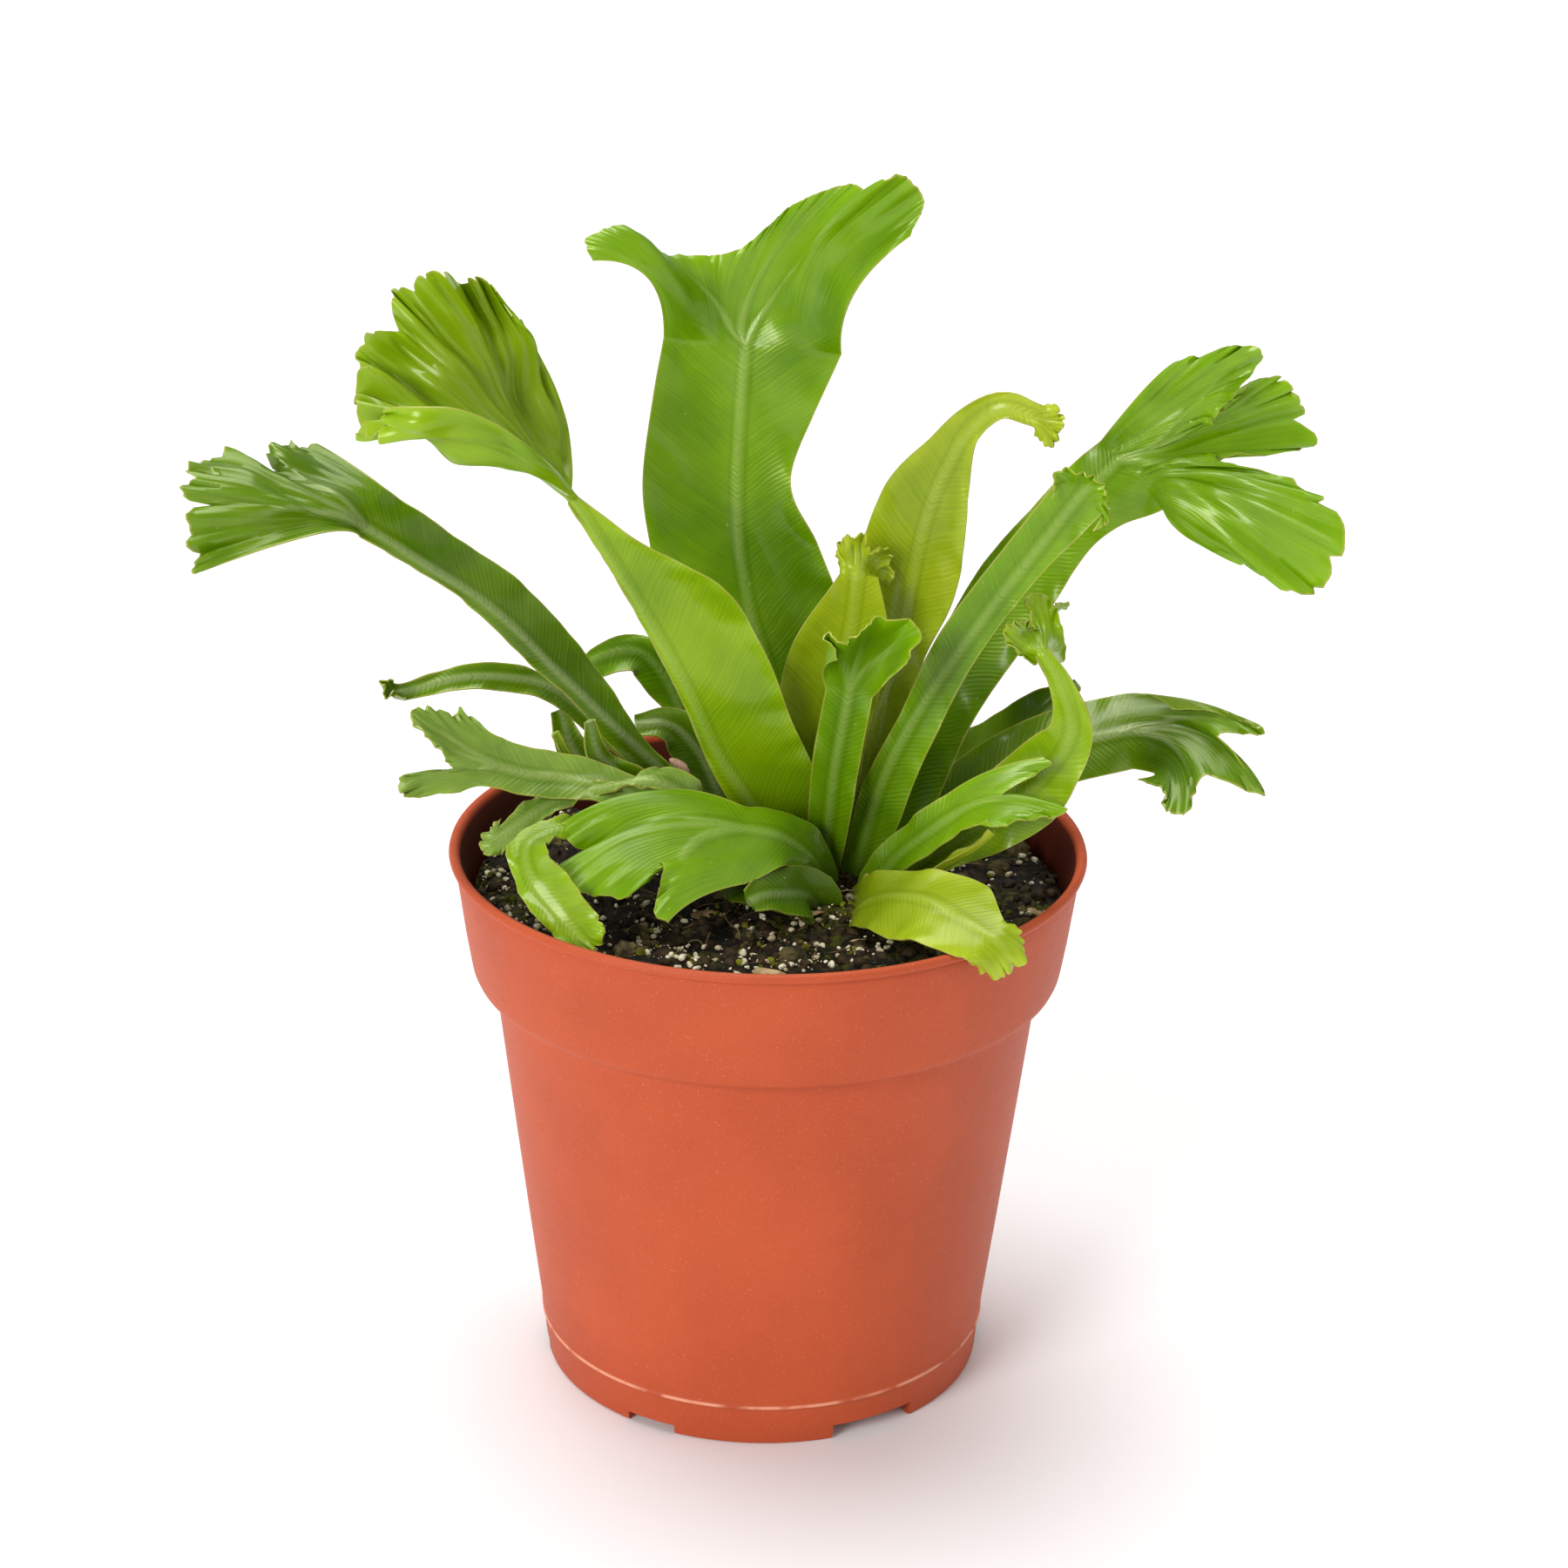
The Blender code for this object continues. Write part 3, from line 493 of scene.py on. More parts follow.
# ------------------------------------------------------------
# The crown.  The short upright stem that every frond grows from, hidden in dark brown hair-like scales.
# The dry stubs of two lost fronds still stand on it.
# Where the crown stands, its radius, the height of its base, and how tall its dome is.
CROWN_AT, CROWN_WIDE, CROWN_LOW, CROWN_TALL = (5.0, 1.0), 15.0, 80.0, 10.0


def ring_faces(count, turn):
    """Faces between rings of turn points each, count points in all, and over both ends."""
    faces = []
    for a in range(0, count - turn, turn):
        faces += [(a + k, a + (k + 1) % turn, a + turn + (k + 1) % turn, a + turn + k) for k in range(turn)]
    return faces + [tuple(range(count - turn, count)), tuple(reversed(range(turn)))]


def crown_mesh(finish):
    """A knobbly dome standing in the mix."""
    rings, turn = 26, 72
    points = []
    for ring in range(rings + 1):
        lift = ring / rings
        radius = CROWN_WIDE * np.cos(lift * np.pi / 2) ** 0.6 + 0.02
        for k in range(turn):
            a = 2 * np.pi * k / turn
            bulge = 1 + 0.07 * np.sin(7 * a + 9 * lift) + 0.05 * np.sin(13 * a - 17 * lift)
            points.append((CROWN_AT[0] + radius * bulge * np.cos(a), CROWN_AT[1] + radius * bulge * np.sin(a),
                           CROWN_LOW + CROWN_TALL * np.sin(lift * np.pi / 2)))
    return smooth_mesh("crown_dome", points, ring_faces(len(points), turn), finish)


crown_brown = grain_finish("crown_scales", (0.006, 0.0035, 0.0015), (0.085, 0.048, 0.018), 420.0, 0.3, 0.6)
crown = add_object("crown_stem", crown_mesh(crown_brown))
keep(crown, "crown")
hair = grown("crown_hair", fibre_tree(), crown_brown, crown.data.copy(), Count=600000.0, Length=3.6,
             Thick=0.09, Seed=6)
keep(hair, [])


def stub_mesh(name, centres, radii, finish):
    """A stalk as rings about its centre points, closed at both ends."""
    turn = 12
    around = np.linspace(0, 2 * np.pi, turn, endpoint=False)
    ring = np.stack([np.cos(around), np.sin(around), -0.4 * np.cos(around)], -1)
    points = np.vstack([centre + radius * ring for centre, radius in zip(np.array(centres), radii)])
    return smooth_mesh(name, points, ring_faces(len(points), turn), finish)


stub_tan = grain_finish("stub_dry", (0.300, 0.130, 0.070), (0.680, 0.430, 0.300), 300.0, 0.2, 0.4)
for name, centres, radii in (
        ("stub_left",
         [(-3, 5, 88), (-8, 7, 94), (-12, 8, 99), (-14, 9, 102), (-15, 9, 104), (-15.6, 9, 105.5),
          (-16, 9, 106)],
         [1.2, 0.9, 0.8, 1.0, 1.7, 1.6, 0.6]),
        ("stub_right", [(14, -8, 88), (16, -10, 91), (17, -11, 93), (17, -11, 94)], [1.3, 1.1, 1.2, 0.5])):
    keep(add_object(name, stub_mesh(name, centres, radii, stub_tan)), [])

# ------------------------------------------------------------
# The tall frond, and how every frond is made.  A frond is one undivided strap of leaf with a raised
# midrib; this plant's sort forks at the end into a ruffled crest.  It grows from the crown and touches
# nothing else.  The tall one stands upright behind the crown, its glossy face to the front.
UP = [(0, 0, 1)]
FRONT = [(0, -1, 0.3)]
# A blade's thickness, how far its foot runs into the crown, and how far apart its rows of points are.
THICK, FOOT, ROW_STEP = 0.42, 3.0, 1.1
# What a frond has where its own call says nothing.
EVEN = dict(roll=[0], cup=[10], fold=[0], crest=[], bend=[], flare=(0, 0), reach=0.5, wave=(0.4, 15),
            swell=(1.2, 20), lobes=(0.0, 9.0), teeth=(0.0, 3.0), folds=(0.0, 12.0), curl=(0.0, 4.0), ribs=())


def wobble(x, phase):
    """A smooth uneven wave, about -1 to 1, some 6 long."""
    quick = 0.3 * np.sin(1.73 * x + 2.1 * phase + 1) + 0.2 * np.sin(2.91 * x + 0.7 * phase)
    return 0.5 * np.sin(x + phase) + quick


def notched(x):
    """0 over each rounded lobe, up to 1 in the narrow notch at each whole number."""
    return 1 - np.abs(np.sin(np.pi * x)) ** 0.5


def unit(vectors):
    """The vectors at length one."""
    return vectors / np.maximum(np.linalg.norm(vectors, axis=-1, keepdims=True), 1e-9)


def smooth_line(points, count):
    """count + 1 evenly spaced points on a smooth curve through the points, and its length."""
    p = np.array(points, float)
    p = np.vstack([2 * p[0] - p[1], p, 2 * p[-1] - p[-2]])
    pieces = []
    for i in range(1, len(p) - 2):
        before, start, end, after = p[i - 1:i + 3]
        t1 = np.linalg.norm(start - before) ** 0.5
        t2 = t1 + np.linalg.norm(end - start) ** 0.5
        t3 = t2 + np.linalg.norm(after - end) ** 0.5
        t = np.linspace(t1, t2, 61)[:, None]
        a = before + (start - before) * t / t1
        b = start + (end - start) * (t - t1) / (t2 - t1)
        c = end + (after - end) * (t - t2) / (t3 - t2)
        d = a + (b - a) * t / t2
        e = b + (c - b) * (t - t1) / (t3 - t1)
        curve = d + (e - d) * (t - t1) / (t2 - t1)
        pieces.append(curve if i == len(p) - 3 else curve[:-1])
    line = np.vstack(pieces)
    run = np.concatenate([[0], np.cumsum(np.linalg.norm(np.diff(line, axis=0), axis=1))])
    even = np.linspace(0, run[-1], count + 1)
    return np.stack([np.interp(even, run, line[:, k]) for k in range(3)], -1), run[-1]


def along(values, share):
    """Smooth value at each share, 0 to 1, of evenly spaced values."""
    v = np.array(values, float)
    if len(v) == 1:
        return np.repeat(v, len(share), 0)
    x = np.clip(share, 0, 1) * (len(v) - 1)
    i = np.minimum(x.astype(int), len(v) - 2)
    f = (x - i).reshape((-1,) + (1,) * (v.ndim - 1))
    v = np.concatenate([[2 * v[0] - v[1]], v, [2 * v[-1] - v[-2]]])
    p0, p1, p2, p3 = v[i], v[i + 1], v[i + 2], v[i + 3]
    bend = (2 * p0 - 5 * p1 + 4 * p2 - p3) * f ** 2 + (-p0 + 3 * p1 - 3 * p2 + p3) * f ** 3
    return 0.5 * (2 * p1 + (p2 - p0) * f + bend)


def blade_surface(spec, mid, length, side):
    """Rows of points across the blade, and its heading, right and normal at its end."""
    share = np.linspace(0, 1, len(mid))
    heading = unit(np.gradient(mid, axis=0))
    face = along(spec["face"], share)
    normal = unit(face - (face * heading).sum(-1, keepdims=True) * heading)
    right = np.cross(heading, normal)
    roll = np.radians(along(spec["roll"], share))[:, None]
    turned = normal * np.cos(roll) + right * np.sin(roll)
    normal, right = turned, right * np.cos(roll) - normal * np.sin(roll)
    left_width, right_width = [along(widths, share)[:, None] for widths in spec["width"]]
    across = np.where(side < 0, left_width, right_width) * side
    bend = np.radians(along(spec["cup"], share))[:, None] * 2 / (left_width + right_width)
    bend = np.where(np.abs(bend) < 1e-5, 1e-5, bend)
    rise = (1 - np.cos(bend * across)) / bend
    out = np.sin(bend * across) / bend
    fold = np.radians(along(spec["fold"], share))[:, None]
    rise += (np.hypot(out, 0.5) - 0.5) * np.sin(fold)
    out *= np.cos(fold)
    run = share[:, None] * length
    grown_out = np.clip(share[:, None] * 4, 0, 1)
    phase = spec["phase"]
    height, step = spec["wave"]
    rise += height * np.abs(side) ** 2.5 * wobble(run / step * 6.28 + 1.6 * side, phase) * grown_out * 1.6
    height, size = spec["swell"]
    rise += height * (value_noise(run + 3 * across, 1.6 * across, phase, size) - 0.5) * grown_out
    small = value_noise(run + across, 1.4 * across, phase + 2, size / 3) - 0.5
    rise += 0.3 * height * small * grown_out
    rows = mid[:, None] + out[..., None] * right[:, None] + rise[..., None] * normal[:, None]
    return rows, across, (heading[-1], right[-1], normal[-1])


def ray_tips(rays, end, axes):
    """Where rays from end reach, each (degrees off the midrib's line, length, rise above the blade)."""
    ahead, beside, above = axes
    turn, size, rise = np.array(rays, float).T[..., None]
    turn = np.radians(turn)
    return end + size * (np.cos(turn) * ahead + np.sin(turn) * beside) + rise * above


def crest_surface(spec, end, edge, axes, side, steps):
    """Rows of points from the blade's end out to the crest's rim, and how far out each stands."""
    ahead, beside, _ = axes
    rim = along(ray_tips(spec["crest"], end, axes), (side + 1) / 2)
    flare = np.radians(np.where(side < 0, *spec["flare"]) * side)[:, None]
    setting_off = np.cos(flare) * ahead + np.sin(flare) * beside
    reach = np.linalg.norm(rim - edge, axis=1)
    knee = edge + setting_off * reach[:, None] * spec["reach"]
    if spec["bend"]:
        knee = along(ray_tips(spec["bend"], end, axes), (side + 1) / 2)
    run = np.concatenate([[0], np.cumsum(np.linalg.norm(np.diff(rim, axis=0), axis=1))])
    phase = spec["phase"]
    inward = np.clip(np.minimum(run, run[-1] - run) / 3, 0, 1)

    depth, step = spec["lobes"]
    lobe_at = (run + 0.35 * step * wobble(run * 2.3 / step, phase)) / step + 0.5
    cut = depth * (1 + 0.5 * wobble(run / step, phase + 3)) * notched(lobe_at)
    depth, step = spec["teeth"]
    tooth_at = (run + 0.4 * step * wobble(run * 2.7 / step, phase + 1)) / step
    cut += depth * (1 + 0.6 * wobble(run * 1.3 / step, phase)) * notched(tooth_at)
    most = 1 - np.clip(cut * inward / np.maximum(reach, 0.5), 0, 0.6)
    q = np.linspace(0, 1, steps + 1)[1:, None] * most
    t = q[..., None]
    rows = (1 - t) ** 2 * edge + 2 * t * (1 - t) * knee + t ** 2 * rim
    whole = np.concatenate([edge[None], rows])
    lift = unit(np.cross(np.gradient(whole, axis=0), np.gradient(whole, axis=1)))[1:]

    height, step = spec["folds"]
    uneven = value_noise(run + 0 * q, q * reach, phase + 2, step * 0.6) - 0.5
    pleats = wobble(run * 6.28 / step + 1.5 * q, phase + 2)
    push = height * (0.7 * q ** 1.8 * pleats + 2.0 * q ** 0.8 * uneven)
    height, step = spec["lobes"]
    push += 0.45 * height * q ** 3 * (0.6 - notched(lobe_at)) * np.sign(wobble(run / step, phase) + 0.3)
    height, step = spec["curl"]
    rolled = np.clip((q / most - 0.72) / 0.28, 0, 1) ** 1.5
    push += height * rolled * (np.cos(2 * np.pi * tooth_at) * 0.7 + wobble(run * 6.28 / step, phase + 4))
    ends = np.clip(np.minimum(run, run[-1] - run) / 4, 0.15, 1)
    rows = rows + (push * ends)[..., None] * lift
    return np.concatenate([edge[None], rows]), q, run, reach


def frond(node, finish, slot, mid, width, face=UP, **more):
    """One finished frond, which stands for the node of that name.

    mid: points of the midrib from the crown to where the blade ends or its crest begins.
    width: half widths at even steps along the midrib, or a pair of such lists, left and right.
    face: the way the blade's face looks, at even steps.  roll turns it further, in degrees.
    cup: how far each half bends up over its width, in degrees.  fold: a crease along the midrib.
    crest: rays from the midrib's end to the fan's rim, each (degrees off the midrib's line, length,
    rise above the blade).  flare: the way the outer rays set off, left and right, in degrees.
    reach: how far a ray runs straight before it bends.  bend: rays to where they bend, in place of both.
    wave: (height, length) of the margin's waves.
    swell: (height, length) of the blade's own unevenness.  lobes, teeth: (depth, width) of the rim's large
    and small lobes.  folds, curl: (height, length) of the crest's folds and of the frills at its rim.
    ribs: where the forks of the midrib meet the rim, -1 to 1.
    """
    kind, _, which = node.partition("_")
    name = which + "_" + kind
    pair = width if isinstance(width, tuple) else (width, width)
    spec = {**EVEN, "width": pair, "face": face, "phase": sum(ord(c) for c in name) % 63 / 10, **more}
    start = np.array(mid[0], float)
    mid_points = [start - unit(np.array(mid[1], float) - start) * FOOT, *mid[1:]]
    widest = max(max(side_widths) for side_widths in pair)
    columns = 2 * int(np.clip(widest * 1.5, 9, 30))
    side = np.linspace(-1, 1, columns + 1)
    _, length = smooth_line(mid_points, 8)
    line, length = smooth_line(mid_points, int(length / ROW_STEP))
    rows, across, axes = blade_surface(spec, line, length, side)
    run = np.linspace(0, length, len(rows))[:, None] + 0 * side
    edge_width = np.where(side < 0, -across[:, :1], across[:, -1:])
    blade = dict(rows=rows, run=run, across=across, q=run * 0, rim=run * 0,
                 edge=edge_width * (1 - np.abs(side)), rib=np.abs(across))
    sheets = [blade]
    if spec["crest"]:
        finer = 4 if widest > 4.5 else 3
        fine = np.linspace(-1, 1, columns * finer + 1)
        edge = np.stack([np.interp(fine, side, rows[-1][:, k]) for k in range(3)], -1)
        steps = int(np.clip(max(ray[1] for ray in spec["crest"]) * 1.9, 12, 64))
        fan, q, rim, reach = crest_surface(spec, line[-1], edge, axes, fine, steps)
        q = np.vstack([0 * q[:1], q])
        spread = np.linalg.norm(np.gradient(fan, axis=1), axis=2) / (fine[1] - fine[0])
        fork = 1 - (1 - q) ** 1.5
        rib = np.min([np.abs(fine - tip * fork) for tip in (0.0, *spec["ribs"])], axis=0) * spread
        lateral = np.minimum(fine + 1, 1 - fine) * spread
        to_rim = (q[-1] - q) * np.maximum(reach, 1)
        sheets = [{key: values[:-1] for key, values in blade.items()},
                  dict(rows=fan, run=length + q * reach, across=np.interp(fine, side, across[-1]) + 0 * q,
                       q=q, rim=rim + 0 * q, edge=np.minimum(lateral, to_rim), rib=rib)]
    keep(add_object(name, frond_mesh(name, finish, sheets)), node)


def frond_mesh(name, finish, sheets):
    """Give the sheets their thickness, their margin and their marks, as one closed mesh."""
    flat = np.vstack([sheet["rows"].reshape(-1, 3) for sheet in sheets])
    marks = {key: np.concatenate([sheet[key].ravel() for sheet in sheets])
             for key in ("run", "across", "q", "rim", "edge", "rib")}
    lines, count = [], 0
    for sheet in sheets:
        for row in sheet["rows"]:
            lines.append(range(count, count + len(row)))
            count += len(row)
    faces = []
    for near, far in zip(lines, lines[1:]):
        finer = (len(far) - 1) // (len(near) - 1)
        for j in range(len(near) - 1):
            faces.append((near[j], near[j + 1], *far[j * finer:(j + 1) * finer + 1][::-1]))
    left, right = [line[0] for line in lines], [line[-1] for line in lines]
    loop = [*lines[0], *right[1:], *lines[-1][-2::-1], *left[-2:0:-1]]

    sheet = bpy.data.meshes.new(name)
    sheet.from_pydata(flat.tolist(), [], faces)
    normals = np.zeros(count * 3, np.float32)
    sheet.vertex_normals.foreach_get("vector", normals)
    normals = normals.reshape(-1, 3)
    bpy.data.meshes.remove(sheet)
    raised = np.exp(-(marks["rib"] / 0.75) ** 2) * (1 - 0.8 * np.clip(marks["q"], 0, 1))
    fade = np.clip(marks["run"] / 40, 0, 1)
    half = THICK / 2 * (0.55 + 0.45 * np.clip(marks["edge"] / 1.2, 0, 1))
    upper = flat + normals * (half + raised * (0.32 - 0.12 * fade))[:, None]
    lower = flat - normals * (half + raised * (0.55 - 0.25 * fade))[:, None]
    faces += [tuple(count + k for k in reversed(face)) for face in faces]
    faces += [(a, count + a, count + b, b) for a, b in zip(loop, loop[1:] + loop[:1])]
    mesh = smooth_mesh(name, np.vstack([upper, lower]), faces, finish)
    place = np.stack([marks["run"], marks["across"], marks["rim"]], -1)
    trait = np.stack([marks["q"], np.minimum(marks["rib"], 50), marks["edge"]], -1)
    for key, values in (("place", place), ("trait", trait)):
        layer = mesh.attributes.new(key, "FLOAT_VECTOR", "POINT")
        layer.data.foreach_set("vector", np.vstack([values, values]).astype(np.float32).ravel())
    layer = mesh.attributes.new("under", "FLOAT", "POINT")
    layer.data.foreach_set("value", np.repeat([0.0, 1.0], count).astype(np.float32))
    mesh.set_sharp_from_angle(angle=np.radians(65))
    return mesh


def shade(colour, by):
    return [c * by for c in colour]


def leaf_finish(name, deep, bright, under, rib, gloss=0.34, rib_pale_and_sheen=0.35):
    """Living leaf: clouded green, fine oblique veins, a paler midrib and margin, duller beneath.

    The midrib's paleness is partly painted sheen; painted shade lies beside it and towards the foot.
    """
    made, shader, flow = finish_of(name)
    here = place_of(flow)
    run, across, rim = split(flow.node("ShaderNodeAttribute", attribute_name="place", out="Vector"))
    q, gap, edge = split(flow.node("ShaderNodeAttribute", attribute_name="trait", out="Vector"))
    below = flow.node("ShaderNodeAttribute", attribute_name="under", out="Fac")
    cloud = noise_at(flow, here, 60.0, 3.0)
    patch = noise_at(flow, here, 190.0, 2.0)
    fine = noise_at(flow, here, 900.0, 3.0, 0.6)
    crested = q.ramp(0.02, 0.3)
    slant = run - abs(across) * 0.75 + (cloud - 0.5) * 5.0
    fan_way = rim + (cloud - 0.5) * 3.0
    lines = flow.math("SINE", slant * 6.5) * (1 - crested) + flow.math("SINE", fan_way * 5.5) * crested
    streak = noise_at(flow, xyz(flow, slant * 1.5, abs(across) * 0.08), 1.0, 3.0, 0.6) * (1 - crested)
    streak = streak + noise_at(flow, xyz(flow, fan_way * 1.1, run * 0.07, 4.0), 1.0, 3.0, 0.6) * crested
    colour = (cloud.ramp(0.3, 0.7) * 0.72 + streak.ramp(0.3, 0.7) * 0.28).tint(deep, bright)
    veins = lines.ramp(0.2, 1.0) * patch.ramp(0.35, 0.6)
    colour = (veins * 0.08).tint(colour, shade(deep, 0.45))
    duller = cloud.ramp(0.35, 0.65) * 0.75 + streak.ramp(0.3, 0.7) * 0.25
    colour = (below * 0.9).tint(colour, duller.tint(shade(under, 0.82), under))
    colour = (q.ramp(0.5, 1.0) * 0.3).tint(colour, shade(bright, 1.3))
    colour = (edge.ramp(2.6, 0.3) * 0.22).tint(colour, shade(bright, 1.35))
    # The pale midrib: partly the rib's own paler colour, partly painted sheen with broken painted highlights
    # where light catches the raised ridge; greyest and strongest on the old fronds.
    broken = streak.ramp(0.3, 0.55) * 0.6 + 0.4
    colour = (gap.ramp(1.0, 0.2) * broken * rib_pale_and_sheen * (1 - q.ramp(0.3, 0.9))).tint(colour, rib)
    # Painted shade: a darker band either side of the raised midrib, in the groove where shade falls.
    rib_groove_shade = gap.ramp(1.9, 1.3) * gap.ramp(0.8, 1.3) * 0.25 * (1 - q.ramp(0.0, 0.6))
    colour = rib_groove_shade.tint(colour, shade(deep, 0.5))
    colour = (edge.ramp(0.30, 0.12) * 0.6).tint(colour, (0.380, 0.370, 0.060))
    # Painted shade: the blade darkens towards its foot, over its first 30 mm from the crown, where the other
    # fronds shade it.
    colour = (run.ramp(30.0, 2.0) * 0.75).tint(colour, [deep[0] * 0.45, deep[1] * 0.45, deep[2]])
    dots = flow.node("ShaderNodeTexVoronoi", feature="F1", Vector=here, Scale=420.0, Randomness=1.0)
    dust = dots.ramp(0.09, 0.04) * noise_at(flow, here, 300.0, 1.0).ramp(0.6, 0.68)
    colour = (dust * 0.5).tint(colour, (0.560, 0.560, 0.330))
    bump = flow.node("ShaderNodeBump", Strength=0.35, Distance=0.00016,
                     Height=lines * 0.2 + streak * 1.1 + fine * 0.4 + dust * 0.5)
    feed(shader, dict(Base_Color=colour, Normal=bump,
                      Roughness=gloss + (fine - 0.5) * 0.12 + below * 0.1 + (patch - 0.5) * 0.3,
                      Specular_Tint=(0.95, 1.0, 0.38, 1.0), Coat_Weight=0.3, Coat_Roughness=0.16))
    return made


# The midrib's pale yellow-green: partly its own colour, partly painted sheen.
RIB_PALE = (0.330, 0.430, 0.120)
mature = leaf_finish("leaf_mature", (0.074, 0.190, 0.0), (0.170, 0.335, 0.0), (0.160, 0.270, 0.001), RIB_PALE)
frond("frond_tall", mature, "frond_fresh",
      [(7, 7, 89), (4, 10, 105), (0, 13, 120), (-4, 16, 132), (-6, 18, 146), (-6, 21, 160), (-5, 24, 175)],
      ([3, 7, 10, 13, 15, 15, 16, 15, 14], [3, 8, 12, 14, 15, 13, 9, 12, 16]), FRONT,
      cup=[20, 20, 10, 5, 0, 0, 0], ribs=(-0.62, 0.55), wave=(1.1, 30), swell=(3.2, 30), lobes=(0.3, 14),
      teeth=(0.3, 3), folds=(0.9, 22), curl=(0.3, 7),
      bend=[(-45, 20, 10), (-42, 17, 8), (-35, 11, 0), (-32, 8, -2), (6, 14, -2), (24, 17, 5), (49, 18, 21)],
      crest=[(-65, 29, 7), (-60, 32, 7), (-50, 28, 5), (-40, 19, 0), (-10, 16, 0), (14, 25, 3), (28, 32, 6),
             (36, 33, 12), (34, 36, 21), (38, 39, 21), (45, 38, 19), (50, 33, 18)])

# ------------------------------------------------------------
# The cockscomb frond.  It leans to the left and turns its dull underside to the front, and its crest
# opens into one broad ruffled comb with a lip that folds forward.
fresh = leaf_finish("leaf_fresh", (0.135, 0.270, 0.0), (0.240, 0.390, 0.0), (0.170, 0.280, 0.0), RIB_PALE,
                    0.38, 0.25)
frond("frond_cockscomb", fresh, "frond_fresh",
      [(6, 0, 89), (-2, -4, 102), (-8, -6, 112), (-13, -8, 124), (-18, -9, 134), (-25, -11, 147),
       (-32, -12, 159)],
      ([3, 3, 2, 1.5, 1, 1], [3.5, 10, 13, 14, 14.5, 13.5, 6, 1]), FRONT,
      cup=[0, 10, 10, 10, 10, 15, 10], ribs=(-0.6, -0.2, 0.2), swell=(1.6, 26), lobes=(3, 9), teeth=(1.2, 3),
      folds=(4.2, 12), curl=(1.5, 5),
      bend=[(70, 7, -18), (10, 7, -11), (-5, 14, -6), (-13, 15, 3), (-15, 16, 11), (-2, 19, 17), (0, 30, 21)],
      crest=[(16, 27, -13), (10, 36, -13), (1, 41, -12), (-9, 43, -11), (-23, 42, -9), (-30, 39, -5),
             (-37, 38, 1), (-35, 36, 8), (-28, 36, 10)])

# ------------------------------------------------------------
# The fronds on the left: a long one folded into a trough and crested at its tip, a narrow one with a
# knotted tip, a forked one close to the lip, paled by a painted grey-green sheen, and small leaves at their
# feet.
# The old fronds' midrib colour is a pale grey-green: partly the rib's own colour, partly a painted sheen
# along the ridge.
old = leaf_finish("leaf_old", (0.050, 0.125, 0.0), (0.110, 0.215, 0.001), (0.110, 0.180, 0.004),
                  (0.340, 0.390, 0.190), 0.36, 0.45)
frond("frond_far_left", old, "frond_dark",
      [(-1, 7, 89), (-14, 5, 102), (-23, 3, 111), (-35, 1, 124), (-46, -3, 137), (-58, -7, 147),
       (-66, -9, 153)],
      ([2, 2, 3, 2, 2.5, 1.5, 2], [5, 2, 2, 5.5, 7, 7, 7.5]), [(0.1, -0.8, 0.6)],
      cup=[0, 0, 10, 10, 10], fold=[0, -8, -12, -12, -10, -6], ribs=(-0.6, 0.6), lobes=(2, 8), teeth=(1, 2.6),
      folds=(1.6, 10), curl=(1.0, 4),
      bend=[(-20, 6, 9), (-8, 8, 5), (-12, 10, 5), (0, 11, 4), (15, 12, 0), (25, 10, -4), (55, 12, -5)],
      crest=[(-45, 27, -5), (-43, 29, -6), (-26, 28, -6), (-13, 30, -8), (-3, 25, -10), (0, 18, -9),
             (11, 17, -10), (26, 18, -10), (45, 15, -9)])
frond("frond_left_mid", old, "frond_dark",
      [(-5, 12, 89), (-18, 13, 101), (-28, 12, 110), (-38, 9, 119), (-50, 5, 122), (-61, 3, 120)],
      ([2.5, 3, 2.5, 2.5, 2.5, 1.5], [2.5, 2.5, 1.5, 1.5, 2.5, 1.5]), [(0, -0.8, 0.6)],
      cup=[20], swell=(0.8, 20), teeth=(0.8, 2.2), folds=(1, 6), curl=(0.8, 3),
      crest=[(-80, 2, 3), (-30, 3, 5), (0, 4, 7), (20, 3, 6), (35, 2, 5)])
# Painted sheen: a paler, greyer copy of the leaf finish, standing in for the grey-green light on the forked
# fronds.
pale_sheen = leaf_finish("leaf_bloomed", (0.060, 0.150, 0.002), (0.210, 0.330, 0.045), (0.160, 0.260, 0.030),
                      (0.400, 0.460, 0.180), 0.36, 0.3)
frond("frond_left_fork", pale_sheen, "frond_dark",
      [(-5, -7, 89), (-14, -9, 101), (-25, -10, 108), (-32, -10, 110), (-39, -11, 111), (-45, -12, 113)],
      ([2.5, 3, 3, 4, 4.5], [2.5, 3, 3.5, 4.5, 5]), [(0, -0.6, 0.8)],
      cup=[10], ribs=(-0.7, 0.5), swell=(1.2, 14), lobes=(0.3, 9), teeth=(1, 2.6), folds=(0.6, 9),
      curl=(0.6, 4),
      crest=[(-50, 8, -1), (-35, 16, -2), (-28, 18, -1), (-23, 16, 0), (-26, 8, 0), (-8, 10, 1), (5, 14, 2),
             (14, 17, 1), (27, 15, 1), (42, 11, 0), (51, 12, -1), (62, 8, 0)])
frond("leaf_left_broad", old, "frond_dark",
      [(-7, 9, 88), (-17, 10, 93), (-26, 11, 100), (-33, 12, 105), (-36, 14, 113)],
      ([2, 5, 2, 1.5, 3, 2], [2, 1.5, 3, 3.5, 3, 1]), [(0, -0.7, 0.7)],
      cup=[30])
frond("leaf_left_curled", fresh, "frond_dark",
      [(-8, 4, 88), (-19, 2, 98), (-27, 0, 105), (-33, -1, 109), (-36, -2, 115)],
      [2, 2.5, 2, 1.5, 1.2, 0.8], [(0, -0.7, 0.7)],
      cup=[60])
